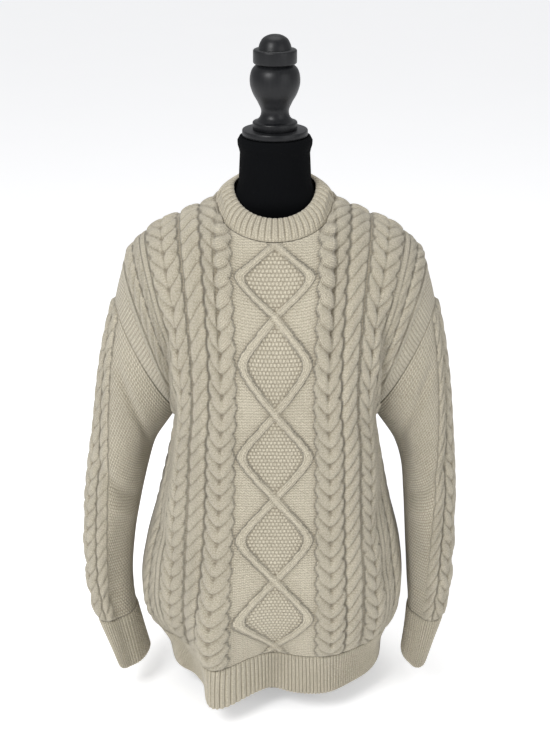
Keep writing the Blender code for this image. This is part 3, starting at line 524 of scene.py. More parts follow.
    def top(self, sign: int, s: Array) -> Array:
        """Cloth height of a panel's top edge: an elliptic neckline, then a straight shoulder."""
        neck_cloth = self.neckline[sign][2]
        scoop = np.sqrt(1 - np.clip(np.abs(s) / self.neck_half, 0, 1) ** 2)
        neck = self.neck_point - (self.neck_point - neck_cloth) * scoop
        slope = (np.abs(s) - self.neck_half) / (self.half - self.neck_half)
        return np.where(np.abs(s) < self.neck_half, neck,
                        self.neck_point + (self.armhole_top - self.neck_point) * slope)

    def top_edge(self, sign: int, s: Array) -> tuple[Array, Array]:
        """Points of a panel's top edge, and the direction in which the cloth arrives there."""
        depth, level, _ = self.neckline[sign]
        across = np.sign(s) * -sign
        inner = np.clip(np.abs(s) / self.neck_half, 0, 1)
        scoop = np.sqrt(1 - inner**2)
        _, neck_x, neck_z = self.shoulder[0]
        neck = np.stack((across * neck_x * inner, sign * depth * scoop,
                         neck_z - (neck_z - level) * scoop), -1)
        seam = np.stack((across * curve(self.shoulder[:, 0], self.shoulder[:, 1], np.abs(s)),
                         np.zeros_like(s), curve(self.shoulder[:, 0], self.shoulder[:, 2], np.abs(s))), -1)
        points = np.where((np.abs(s) < self.neck_half)[..., None], neck, seam)
        rise = 0.85 * (1 - inner**2)
        return points, np.stack((np.zeros_like(s), -sign * np.sqrt(1 - rise**2), rise), -1)

    def armhole(self, side: int, sign: int, turn: Array) -> Array:
        """Points of the armhole's half oval, turn 0 at the underarm and 1 at the top."""
        bottom = np.array((side * self.sections[-1, 2], 0.0, self.sections[-1, 1]))
        top = np.array((side * self.shoulder[-1, 1], 0.0, self.shoulder[-1, 2]))
        half = np.linalg.norm(top - bottom) / 2
        up, angle = (top - bottom) / (2 * half), np.pi * turn[..., None]
        deep = np.array((0.0, sign * self.armhole_depth[sign], 0.0))
        return (top + bottom) / 2 - half * np.cos(angle) * up + np.sin(angle) * deep

    def sleeve_way(self, side: int) -> Array:
        """Direction in which a sleeve leaves its armhole."""
        rise = self.shoulder[-1, 2] - self.sections[-1, 1]
        run = self.shoulder[-1, 1] - self.sections[-1, 2]
        return np.array((side * rise, 0.0, -run)) / math.hypot(rise, run)

    def upper(self, sign: int, s: Array, tau: Array) -> Array:
        """Points above the underarm: a Hermite curve from the underarm ring to the top edge."""
        under = np.full_like(s, self.underarm)
        start = self.ring(sign, s, under)
        length = (self.top(sign, s) - self.underarm)[..., None]
        leave = (start - self.ring(sign, s, under - 0.004)) / 0.004 * length
        end, arrive = self.top_edge(sign, s)
        u = tau[..., None]
        return ((2 * u**3 - 3 * u**2 + 1) * start + (u**3 - 2 * u**2 + u) * leave
                + (3 * u**2 - 2 * u**3) * end + (u**3 - u**2) * arrive * length * 1.02)

    def ground(self, sign: int, s: Array, t: Array) -> Array:
        """Points of a panel's ground: the ring, then the upper part drawn out onto the armhole."""
        lower = self.ring(sign, s, np.minimum(t, self.underarm))
        tau = np.clip((t - self.underarm) / (self.top(sign, s) - self.underarm), 0, 1)
        edge = np.sign(s + 1e-12) * self.half
        pull = smooth((np.abs(s) - 0.13) / (self.half - 0.13))[..., None]
        right_side = (edge * -sign > 0)[..., None]
        loop = np.where(right_side, self.armhole(1, sign, tau), self.armhole(-1, sign, tau))
        upper = self.upper(sign, s, tau) + pull * (loop - self.upper(sign, edge, tau))
        points = np.where((t > self.underarm)[..., None], upper, lower)
        points[..., 1] += sign * SEAM_GAP / 2
        return points

    def normal(self, sign: int, s: Array, t: Array) -> Array:
        """Outward normals: the cross product of steps across and up, level below the chest."""
        step, rise = 0.005, 0.003
        s_in = np.clip(s, -self.half + step, self.half - step)
        t_in = np.clip(t, rise, self.top(sign, s_in) - rise)
        across = self.ground(sign, s_in + step, t_in) - self.ground(sign, s_in - step, t_in)
        along = self.ground(sign, s_in, t_in + rise) - self.ground(sign, s_in, t_in - rise)
        normal = unit(np.cross(across, along))
        normal[..., 2] *= 1 - smooth((self.underarm - t) / 0.06)
        fade = smooth((np.abs(s) - self.half + 0.012) / 0.012) * (t <= self.underarm)
        outward = np.stack((np.where(s * -sign > 0, 1.0, -1.0), 0 * s, 0 * s), -1)
        return unit(normal * (1 - fade[..., None]) + outward * fade[..., None])


def mirrored(cables: tuple[Cable, ...]) -> tuple[Cable, ...]:
    """The cables of both halves of a piece, from those of its right half."""
    return cables + tuple(Cable(-c.centre, c.half, c.top, c.kind) for c in cables if c.centre > 0)


PANEL_KNIT = Knit(mirrored((
    Cable(0.080, 0.0222, 0.0064, Kind.V),
    Cable(0.117, 0.0140, 0.0058, Kind.ROPE),
    Cable(0.1575, 0.0230, 0.0062, Kind.V),
    Cable(0.1985, 0.0075, 0.0030, Kind.ROPE),
    Cable(0.217, 0.0115, 0.0048, Kind.ROPE),
)), diamonds=True, moss_from=0.243, ridges=(0.1875, 0.2360))
SLEEVE_KNIT = Knit(mirrored((
    Cable(0.000, 0.0220, 0.0060, Kind.V),
    Cable(0.0360, 0.0122, 0.0052, Kind.ROPE),
)), moss_from=0.052)


@dataclass
class Panel:
    """A body panel of the sweater, above its hem rib."""
    face: Face
    cut: BodyCut
    columns: int = 268
    rows: int = 296
    even_to: float = 0.600
    creases: tuple[Crease, ...] = ()

    def cloth(self) -> Cloth:
        """Lay out the panel: even rows up to the chest, then rows that spread to the top edge."""
        cut, sign = self.cut, self.face.value
        low = cut.hem_rib + SEAM_GAP
        across = np.linspace(-cut.half, cut.half, self.columns)
        even = round(self.rows * 0.78)
        lower = np.linspace(low, self.even_to, even)
        share = np.linspace(0, 1, self.rows - even + 1)[1:, None]
        top = cut.top(sign, across)
        above = self.even_to + share * (top - self.even_to)
        t = np.concatenate((np.repeat(lower[:, None], self.columns, 1), above))
        s = np.broadcast_to(across, t.shape).copy()
        height, u, v, purl, moss = PANEL_KNIT.pattern(s, t - cut.first_crossing)
        edge = np.minimum(np.minimum(t - cut.hem_rib, top - t), cut.half - np.abs(s))
        height = height * smooth(edge / 0.006)
        normal = cut.normal(sign, s, t)
        seam_free = smooth(edge / 0.03)
        push = sum((crease.push(s, t) for crease in self.creases), np.zeros_like(s)) * seam_free
        ground = cut.ground(sign, s, t) + push[..., None] * normal
        return Cloth(ground, -WALL * normal, height, u, v, purl, moss)

    def build(self, name: str, look: bpy.types.Material) -> bpy.types.Object:
        """Make the panel."""
        return Shell(name, self.cloth()).build(look)

    def flat(self) -> tuple[tuple[float, float], float]:
        """Width and length of the cut's rectangle, and the cut's area."""
        s = np.linspace(-self.cut.half, self.cut.half, 581)
        top = self.cut.top(self.face.value, s)
        length = self.cut.neck_point - self.cut.hem_rib
        return (2 * self.cut.half, length), float(np.mean(top - self.cut.hem_rib) * 2 * self.cut.half)


def rib_profile(phase: Array, rib_height: float) -> Array:
    """Height of a rib: a power of a sine over each whole phase, which rounds the crown."""
    return rib_height * np.sin(np.pi * fract(phase)) ** 0.7


@dataclass
class HemRib:
    """Ribbed hem under one body panel."""
    face: Face
    cut: BodyCut
    ribs: int = 116
    per_rib: int = 6
    rows: int = 20
    rib_height: float = 0.0026
    stitch_height: float = 0.0040

    def build(self, name: str, look: bpy.types.Material) -> bpy.types.Object:
        """Make the rib, with its lower edge rolled round."""
        cut, sign = self.cut, self.face.value
        across = np.linspace(-cut.half, cut.half, self.ribs * self.per_rib + 1)
        t, s = np.meshgrid(np.linspace(0, cut.hem_rib, self.rows), across, indexing="ij")
        normal = cut.normal(sign, s, t)
        phase = (s + cut.half) / (2 * cut.half) * self.ribs
        height = rib_profile(phase, self.rib_height)
        height *= 0.45 + 0.55 * smooth((cut.hem_rib - t) / 0.006)
        cloth = Cloth(cut.ground(sign, s, t), -WALL * normal, height, phase, t / self.stitch_height,
                      np.zeros_like(s), np.zeros_like(s))
        return Shell(name, cloth, inner_rows=6, arc_bottom=4).build(look)


@dataclass
class SleeveCut:
    """Ground surface of a sleeve and its cuff."""
    side: Side
    body: BodyCut
    cuff_rib: float = 0.074
    length: float = 0.545
    top_half: float = 0.250
    low_half: float = 0.140
    cuff_half: float = 0.110
    shift: float = 0.0006
    # cloth, inner x and z, outer x and z, middle y, half y, turn, twist
    tables: dict[int, Array] = field(default_factory=lambda: {
        -1: np.array([
            (0.000, 0.194, 0.050, 0.227, 0.052, -0.040, 0.041, 0.26, 0.90),
            (0.037, 0.201, 0.088, 0.243, 0.090, -0.038, 0.042, 0.22, 0.90),
            (0.074, 0.208, 0.126, 0.259, 0.128, -0.035, 0.046, 0.16, 0.90),
            (0.125, 0.211, 0.172, 0.272, 0.178, -0.030, 0.054, 0.10, 0.88),
            (0.200, 0.206, 0.236, 0.275, 0.254, -0.022, 0.061, 0.06, 0.82),
            (0.290, 0.194, 0.302, 0.268, 0.340, -0.012, 0.062, 0.03, 0.68),
            (0.370, 0.182, 0.352, 0.256, 0.422, -0.006, 0.061, 0.02, 0.48),
            (0.440, 0.170, 0.388, 0.246, 0.494, -0.004, 0.061, 0.00, 0.28),
            (0.495, 0.155, 0.413, 0.235, 0.550, -0.004, 0.061, 0.00, 0.11),
            (0.545, 0.137, 0.440, 0.222, 0.600, -0.004, 0.062, 0.00, 0.00),
        ]),
        1: np.array([
            (0.000, 0.192, 0.050, 0.224, 0.052, -0.036, 0.042, 0.06, 0.95),
            (0.037, 0.196, 0.088, 0.236, 0.090, -0.034, 0.043, 0.06, 0.95),
            (0.074, 0.198, 0.126, 0.248, 0.128, -0.031, 0.047, 0.05, 0.95),
            (0.125, 0.195, 0.172, 0.256, 0.178, -0.027, 0.057, 0.04, 0.92),
            (0.200, 0.191, 0.236, 0.258, 0.254, -0.020, 0.063, 0.03, 0.84),
            (0.290, 0.187, 0.302, 0.256, 0.340, -0.012, 0.062, 0.02, 0.68),
            (0.370, 0.182, 0.352, 0.250, 0.422, -0.006, 0.061, 0.00, 0.48),
            (0.440, 0.170, 0.388, 0.242, 0.494, -0.004, 0.061, 0.00, 0.27),
            (0.495, 0.155, 0.413, 0.233, 0.550, -0.004, 0.061, 0.00, 0.11),
            (0.545, 0.137, 0.440, 0.222, 0.600, -0.004, 0.062, 0.00, 0.00),
        ]),
    })
    # side, angle, lean, width, depth, lowest, highest, strongest
    folds: tuple[tuple[float, ...], ...] = (
        (-1, 2.10, 0.60, 0.50, -0.008, -0.150, 0.430, 0.120),
        (-1, -1.90, 0.50, 0.40, -0.007, 0.060, 0.440, 0.240),
        (1, 2.30, 0.40, 0.50, -0.006, -0.120, 0.400, 0.120),
        (1, -1.80, -0.50, 0.40, -0.007, 0.080, 0.460, 0.260),
        (-1, 2.60, 0.20, 0.40, -0.008, 0.330, 0.530, 0.440),
        (1, 2.60, 0.20, 0.40, -0.008, 0.330, 0.530, 0.440),
    )

    def half(self, t: Array) -> Array:
        """Half the pattern width: straight tapers, closing on a curve through the cuff."""
        above = np.clip((t - self.cuff_rib) / (self.length - self.cuff_rib), 0, 1)
        sleeve = self.low_half + (self.top_half - self.low_half) * above
        cuff = self.cuff_half + (self.low_half - self.cuff_half) * (t / self.cuff_rib) ** 2
        return np.where(t < self.cuff_rib, cuff, sleeve)

    def ring(self, share: Array, t: Array) -> Array:
        """Points at a share round from the middle line: a leaning ellipse, pushed by folds."""
        side, table = self.side.value, self.tables[self.side.value]
        row = [curve(table[:, 0], table[:, k], t) for k in range(1, 9)]
        in_x, in_z, out_x, out_z, mid_y, half_y, turn, twist = row
        angle = np.pi * share - side * twist
        bend = (1 + np.cos(angle)) / 2
        y = mid_y + side * half_y * np.sin(angle)
        x = in_x + (out_x - in_x) * bend + turn * (mid_y - y)
        z = in_z + (out_z - in_z) * bend
        push = np.zeros_like(x)
        for fold_side, place, lean, width, depth, low, high, strongest in self.folds:
            if fold_side == side:
                away = -side * angle - place - lean * (t - strongest)
                away = np.arctan2(np.sin(away), np.cos(away)) / width
                push += depth * bell(away) * ease_along(t, low, high, strongest)
        return np.stack((side * (x + push * np.cos(angle)), y + push * side * np.sin(angle), z), -1)

    def ground(self, share: Array, t: Array) -> Array:
        """Points of the ground: the ring, drawn onto the armhole over its upper part."""
        side, turn = self.side.value, 1 - np.abs(share)
        front = (share * side < 0)[..., None]
        loop = np.where(front, self.body.armhole(side, -1, turn), self.body.armhole(side, 1, turn))
        loop = loop + self.shift * self.body.sleeve_way(side)
        pull = smooth((t - 0.44) / (self.length - 0.44))[..., None]
        return self.ring(share, t) + pull * (loop - self.ring(share, np.full_like(t, self.length)))

    def normal(self, share: Array, t: Array) -> Array:
        """Outward normals: the cross product of steps round and up, level round the cuff."""
        step = 0.003
        t_in = np.clip(t, step, self.length - step)
        across = self.ground(share + 0.01, t_in) - self.ground(share - 0.01, t_in)
        along = self.ground(share, t_in + step) - self.ground(share, t_in - step)
        normal = unit(np.cross(across, along))
        normal[..., 2] *= smooth((t - self.cuff_rib) / 0.05)
        return unit(normal)


@dataclass
class Sleeve:
    """A sleeve above its cuff."""
    cut: SleeveCut
    columns: int = 216
    rows: int = 200
    creases: tuple[Crease, ...] = ()

    def build(self, name: str, look: bpy.types.Material) -> bpy.types.Object:
        """Make the sleeve as a tube whose seam runs under the arm."""
        cut = self.cut
        low = cut.cuff_rib + SEAM_GAP
        share_line = np.linspace(-1, 1, self.columns + 1)
        t, share = np.meshgrid(np.linspace(low, cut.length, self.rows), share_line, indexing="ij")
        s = share * cut.half(t)
        height, u, v, purl, moss = SLEEVE_KNIT.pattern(s, t - low)
        height = height * smooth(np.minimum(t - cut.cuff_rib, cut.length - t) / 0.006)
        seam_free = smooth(np.minimum(t - low, cut.length - t) / 0.03) * smooth((1 - np.abs(share)) / 0.1)
        push = sum((crease.push(s, t) for crease in self.creases), np.zeros_like(s)) * seam_free
        normal = cut.normal(share, t)
        ground = cut.ground(share, t) + push[..., None] * normal
        body = slice(0, self.columns)
        cloth = Cloth(ground[:, body], -WALL * normal[:, body], height[:, body], u, v,
                      purl[:, body], moss[:, body], closed=True)
        return Shell(name, cloth).build(look)

    def flat(self) -> tuple[tuple[float, float], float]:
        """Width and length of the cut's rectangle, and the cut's area, from the girth at each height."""
        cut = self.cut
        share, t = np.meshgrid(np.linspace(-1, 1, 97), np.linspace(cut.cuff_rib, cut.length, 60))
        girth = np.linalg.norm(np.diff(cut.ground(share, t), axis=1), axis=-1).sum(1)
        length = cut.length - cut.cuff_rib
        return (float(girth.max()), length), float(girth.mean() * length)


@dataclass
class Cuff:
    """Ribbed cuff of a sleeve."""
    cut: SleeveCut
    ribs: int = 44
    per_rib: int = 8
    rows: int = 22
    rib_height: float = 0.0024
    stitch_height: float = 0.0040

    def build(self, name: str, look: bpy.types.Material) -> bpy.types.Object:
        """Make the cuff, with its lower edge rolled round."""
        cut = self.cut
        line = np.linspace(-1, 1, self.ribs * self.per_rib + 1)
        t, share = np.meshgrid(np.linspace(0, cut.cuff_rib, self.rows), line, indexing="ij")
        phase = (share + 1) / 2 * self.ribs
        height = rib_profile(phase, self.rib_height)
        height *= 0.45 + 0.55 * smooth((cut.cuff_rib - t) / 0.006)
        normal = cut.normal(share, t)
        body = slice(0, len(line) - 1)
        flat = np.zeros_like(t[:, body])
        cloth = Cloth(cut.ground(share, t)[:, body], -WALL * normal[:, body], height[:, body], phase,
                      t / self.stitch_height, flat, flat, closed=True)
        return Shell(name, cloth, inner_rows=6, arc_bottom=4).build(look)


@dataclass
class Neckband:
    """Doubled ribbed band round the neck."""
    cut: BodyCut
    ribs: int = 54
    per_rib: int = 8
    rows: int = 18
    rib_height: float = 0.0026
    wall: float = 0.0050
    lift: float = 0.0012
    bulge: float = 0.0030
    rim_side: tuple[float, float] = (0.061, 0.760)
    rim_front: tuple[float, float] = (0.064, 0.729)
    rim_back: tuple[float, float] = (0.053, 0.770)
    stitch_height: float = 0.0040

    def half_band(self, sign: int, alpha: Array, up: Array) -> tuple[Array, Array]:
        """Points and inset of the front or back half.

        The band runs straight from the neckline to its rim, with a sine bulge between.

        Args:
            sign: -1 for the front, 1 for the back.
            alpha: Angles from the middle of that half.
            up: Shares of the way up.

        Returns:
            Points of the ground and the step to the inner face.
        """
        s = self.cut.neck_half * np.sin(alpha) * 0.9999
        top = self.cut.top(sign, s)
        foot, foot_normal = self.cut.ground(sign, s, top), self.cut.normal(sign, s, top)
        depth, level = self.rim_front if sign < 0 else self.rim_back
        side_x, side_z = self.rim_side
        rim = np.stack((-sign * side_x * np.sin(alpha), sign * depth * np.cos(alpha),
                        side_z - (side_z - level) * np.cos(alpha)), -1)
        rim_normal = unit(np.stack((-sign * np.sin(alpha), sign * np.cos(alpha), 0.35 + 0 * alpha), -1))
        share = up[..., None]
        inset = -(1 - share) * WALL * foot_normal - share * self.wall * rim_normal
        start = foot + self.lift * unit(rim - foot)
        return start + share * (rim - start) - self.bulge * np.sin(np.pi * share) * unit(inset), inset

    def build(self, name: str, look: bpy.types.Material) -> bpy.types.Object:
        """Make the band, with its rim rolled round."""
        count = self.ribs * self.per_rib
        line = np.linspace(-1, 1, count + 1)
        up, share = np.meshgrid(np.linspace(0, 1, self.rows), line, indexing="ij")
        front = share < 0
        alpha = np.pi * (np.where(front, share + 1, share) - 0.5)
        front_points, front_inset = self.half_band(-1, alpha, up)
        back_points, back_inset = self.half_band(1, alpha, up)
        points = np.where(front[..., None], front_points, back_points)
        inset = np.where(front[..., None], front_inset, back_inset)
        phase = (share + 1) / 2 * self.ribs
        height = rib_profile(phase, self.rib_height) * (0.2 + 0.8 * smooth(up / 0.25))
        flat = np.zeros((self.rows, count))
        cloth = Cloth(points[:, :-1], inset[:, :-1], height[:, :-1], phase,
                      up * 0.036 / self.stitch_height, flat, flat, closed=True)
        return Shell(name, cloth, inner_rows=6, arc_top=6).build(look)


# ---------------------------------------------------------------- the dress form

def lathe(name: str, profile: Array, steps: int, look: bpy.types.Material) -> bpy.types.Object:
    """Solid of revolution: each ring is the profile's radius times the cosine and sine of the turn.

    Args:
        name: Name of the object.
        profile: (radius, level) rows from top to bottom, on the axis at both ends.
        steps: Points in a ring.
        look: Its material.

    Returns:
        The object, at the origin.
    """
    turn = np.arange(steps) * 2 * np.pi / steps
    radius, level = profile[1:-1, 0][:, None], profile[1:-1, 1][:, None]
    rings = np.stack((radius * np.cos(turn), radius * np.sin(turn), level + 0 * turn), -1).reshape(-1, 3)
    count = len(profile) - 2
    points = np.concatenate((rings, [(0, 0, profile[0, 1]), (0, 0, profile[-1, 1])]))
    r, k = np.meshgrid(np.arange(count - 1), np.arange(steps), indexing="ij")
    after = (k + 1) % steps
    walls = np.stack((r * steps + k, (r + 1) * steps + k, (r + 1) * steps + after, r * steps + after), -1)
    line = np.arange(steps)
    beside = (line + 1) % steps
    low = (count - 1) * steps
    top = np.stack((line, beside, np.full(steps, count * steps)), -1)
    bottom = np.stack((low + beside, low + line, np.full(steps, count * steps + 1)), -1)
    mesh = bpy.data.meshes.new(name)
    mesh.from_pydata(points, [], walls.reshape(-1, 4).tolist() + top.tolist() + bottom.tolist())
    mesh.shade_smooth()
    mesh.set_sharp_from_angle(angle=0.7)
    mesh.materials.append(look)
    thing = bpy.data.objects.new(name, mesh)
    bpy.context.scene.collection.objects.link(thing)
    return thing


def eased_run(knots: Array, each: int) -> Array:
    """Points along a smooth curve through (radius, level) knots, `each` to a stretch.

    The curve is a cubic in the length along the knots.
    """
    length = np.concatenate(([0], np.cumsum(np.linalg.norm(np.diff(knots, axis=0), axis=1))))
    at = np.interp(np.linspace(0, len(knots) - 1, each * (len(knots) - 1) + 1), np.arange(len(knots)), length)
    return np.stack((curve(length, knots[:, 0], at), curve(length, knots[:, 1], at)), -1)


@dataclass
class DressForm:
    """Limbless padded torso with a neck plate and a turned finial."""
    sides: int = 96
    rings: int = 150
    # level, half width, half depth front and back
    sections: Array = field(default_factory=lambda: np.array([
        (0.0000, 0.0850, 0.0560, 0.0700), (0.1000, 0.1060, 0.0780, 0.0920),
        (0.2200, 0.1120, 0.0900, 0.0960), (0.3300, 0.1080, 0.0880, 0.0900),
        (0.4400, 0.1180, 0.0980, 0.0960), (0.5400, 0.1480, 0.1000, 0.0940),
        (0.6100, 0.1720, 0.0860, 0.0800), (0.6500, 0.1820, 0.0660, 0.0640),
        (0.6800, 0.1780, 0.0480, 0.0480), (0.7010, 0.1560, 0.0380, 0.0380),
        (0.7165, 0.1190, 0.0370, 0.0370), (0.7250, 0.0780, 0.0400, 0.0400),
        (0.7360, 0.0600, 0.0440, 0.0440), (0.7480, 0.0550, 0.0480, 0.0480),
        (0.7645, 0.0492, 0.0470, 0.0470), (0.8060, 0.0472, 0.0465, 0.0465),
        (0.8135, 0.0490, 0.0485, 0.0485), (0.8185, 0.0508, 0.0505, 0.0505),
        (0.8235, 0.0503, 0.0500, 0.0500), (0.8277, 0.0475, 0.0472, 0.0472),
    ]))
    dome: tuple[tuple[float, float], ...] = (
        (0.0000, 0.9620), (0.0090, 0.9605), (0.0165, 0.9560), (0.0205, 0.9490), (0.0222, 0.9430))
    collar: tuple[tuple[float, float], ...] = (
        (0.0278, 0.9422), (0.0288, 0.9412), (0.0290, 0.9400), (0.0290, 0.9262), (0.0286, 0.9248),
        (0.0276, 0.9240), (0.0242, 0.9235))
    urn: tuple[tuple[float, float], ...] = (
        (0.0244, 0.9228), (0.0300, 0.9170), (0.0333, 0.9060), (0.0333, 0.8980), (0.0300, 0.8860),
        (0.0225, 0.8720), (0.0185, 0.8610), (0.0200, 0.8540), (0.0250, 0.8480))
    base: tuple[tuple[float, float], ...] = (
        (0.0288, 0.8474), (0.0298, 0.8464), (0.0300, 0.8450), (0.0300, 0.8385), (0.0296, 0.8373),
        (0.0000, 0.8373))
    plate: tuple[tuple[float, float], ...] = (
        (0.0000, 0.8370), (0.0420, 0.8370), (0.0434, 0.8366), (0.0440, 0.8354), (0.0440, 0.8296),
        (0.0434, 0.8284), (0.0420, 0.8280), (0.0000, 0.8280))

    def torso(self, name: str, look: bpy.types.Material) -> bpy.types.Object:
        """Make the torso: each ring is half an ellipse in front and half behind.

        Its sections are read straight between the rows of the table, then eased by a short average.
        """
        level = np.linspace(0, self.sections[-1, 0], self.rings)
        even = [np.interp(level, self.sections[:, 0], self.sections[:, k]) for k in (1, 2, 3)]
        soft = [np.convolve(np.pad(v, 2, mode="edge"), np.ones(5) / 5, "valid") for v in even]
        half_x, front, back = [np.where((level < 0.70), s, e) for s, e in zip(soft, even)]
        turn = np.arange(self.sides) * 2 * np.pi / self.sides
        depth = np.where(np.sin(turn) < 0, front[:, None], back[:, None])
        ring = np.stack((half_x[:, None] * np.cos(turn), depth * np.sin(turn),
                         np.broadcast_to(level[:, None], depth.shape)), -1)
        r, k = np.meshgrid(np.arange(self.rings - 1), np.arange(self.sides), indexing="ij")
        after = (k + 1) % self.sides
        walls = np.stack((r * self.sides + k, r * self.sides + after, (r + 1) * self.sides + after,
                          (r + 1) * self.sides + k), -1).reshape(-1, 4)
        line = np.arange(self.sides)
        ends = [line[::-1].tolist(), ((self.rings - 1) * self.sides + line).tolist()]
        mesh = bpy.data.meshes.new(name)
        mesh.from_pydata(ring.reshape(-1, 3), [], walls.tolist() + ends)
        uv = mesh.uv_layers.new(name="knit")
        corner = np.stack((np.stack((k, k + 1, k + 1, k), -1) / self.sides, np.stack((r, r, r + 1, r + 1), -1)
                           / self.rings), -1).reshape(-1, 2)
        flat = np.zeros((2 * self.sides, 2))
        uv.data.foreach_set("uv", np.concatenate((corner, flat)).astype(np.float32).ravel())
        mesh.shade_smooth()
        mesh.set_sharp_from_angle(angle=0.9)
        mesh.materials.append(look)
        thing = bpy.data.objects.new(name, mesh)
        bpy.context.scene.collection.objects.link(thing)
        return thing

    def finial(self, name: str, look: bpy.types.Material) -> bpy.types.Object:
        """Make the turned finial from its runs: dome, collar, urn and base."""
        runs = [eased_run(np.array(self.dome), 5), np.array(self.collar),
                eased_run(np.array(self.urn), 5), np.array(self.base)]
        return lathe(name, np.concatenate(runs), 96, look)

    def neck_plate(self, name: str, look: bpy.types.Material) -> bpy.types.Object:
        """Make the round plate with eased edges."""
        return lathe(name, np.array(self.plate), 96, look)


# ---------------------------------------------------------------- finishes

class Value:
    """A number socket that adds Math nodes when it is used in an expression."""

    def __init__(self, tree: bpy.types.NodeTree, socket: bpy.types.NodeSocket) -> None:
        """Keep the tree and the socket."""
        self.tree, self.socket = tree, socket

    def math(self, operation: str, other: "Value | float | None" = None, flip: bool = False) -> "Value":
        """Add one Math node.

        Args:
            operation: Its operation.
            other: The second operand, if it has one.
            flip: Whether the operands change places.

        Returns:
            The node's result.
        """
        node = self.tree.nodes.new("ShaderNodeMath")
        node.operation = operation
        parts = [self] if other is None else ([other, self] if flip else [self, other])
        for slot, part in zip(node.inputs, parts):
            if isinstance(part, Value):
                self.tree.links.new(part.socket, slot)
            else:
                slot.default_value = part
        return Value(self.tree, node.outputs[0])

    def __add__(self, other: "Value | float") -> "Value":
        """Sum."""
        return self.math("ADD", other)

    __radd__ = __add__

    def __mul__(self, other: "Value | float") -> "Value":
        """Product."""
        return self.math("MULTIPLY", other)

    __rmul__ = __mul__

    def __sub__(self, other: "Value | float") -> "Value":
        """Difference."""
        return self.math("SUBTRACT", other)

    def __rsub__(self, other: float) -> "Value":
        """Difference from a number."""
        return self.math("SUBTRACT", other, flip=True)

    def __pow__(self, other: float) -> "Value":
        """Power."""
        return self.math("POWER", other)

    def fract(self) -> "Value":
        """Part above the whole number below."""
        return self.math("FRACT")

    def floor(self) -> "Value":
        """Whole number below."""
        return self.math("FLOOR")

    def sin(self) -> "Value":
        """Sine."""
        return self.math("SINE")

    def abs(self) -> "Value":
        """Size without its sign."""
        return self.math("ABSOLUTE")


@dataclass
class Recipe:
    """A material under construction."""
    name: str

    def __post_init__(self) -> None:
        """Start the material with its Principled shader."""
        self.material = bpy.data.materials.new(self.name)
        self.material.use_nodes = True
        self.tree = self.material.node_tree
        self.shader = self.tree.nodes["Principled BSDF"]

    def node(self, kind: str, settings: dict[str, object], inputs: dict[str, object], output: str) -> Value:
        """Add a node.

        Args:
            kind: Its type.
            settings: Properties to set first.
            inputs: Sockets by name or number, each a value or a link.
            output: Name of the output wanted.

        Returns:
            That output.
        """
        node = self.tree.nodes.new(kind)
        for key, value in settings.items():
            setattr(node, key, value)
        for key, value in inputs.items():
            socket = node.inputs[int(key)] if key.isdigit() else node.inputs[key]
            if isinstance(value, Value):
                self.tree.links.new(value.socket, socket)
            else:
                socket.default_value = value
        picked = node.outputs[int(output)] if output.isdigit() else node.outputs[output]
        return Value(self.tree, picked)

    def noise(self, scale: float, detail: float, roughness: float = 0.5) -> Value:
        """Noise on the object's own coordinates."""
        place = self.node("ShaderNodeTexCoord", {}, {}, "Object")
        return self.node("ShaderNodeTexNoise", {}, {"Vector": place, "Scale": scale, "Detail": detail,
                                                    "Roughness": roughness}, "0")

    def mask(self, word: str) -> Value:
        """Number kept on the mesh under that word."""
        return self.node("ShaderNodeAttribute", {"attribute_name": word}, {}, "Fac")

    def mix(self, share: Value, low: object, high: object) -> Value:
        """Colour between two colours."""
        return self.node("ShaderNodeMix", {"data_type": "RGBA"}, {"0": share, "6": low, "7": high}, "2")

    def feed(self, word: str, value: Value) -> None:
        """Link a value into the shader."""
        self.tree.links.new(value.socket, self.shader.inputs[word])

    def bump(self, height: Value, distance: float, strength: float, under: Value | None = None) -> Value:
        """Bump node on a height, over an earlier bump if there is one."""
        inputs: dict[str, object] = {"Height": height, "Distance": distance, "Strength": strength}
        if under is not None:
            inputs["Normal"] = under
        return self.node("ShaderNodeBump", {}, inputs, "Normal")

    def fixed(self, **values: object) -> None:
        """Set the shader's own sockets; a word's underscores are spaces."""
        for word, value in values.items():
            self.shader.inputs[word.replace("_", " ")].default_value = value


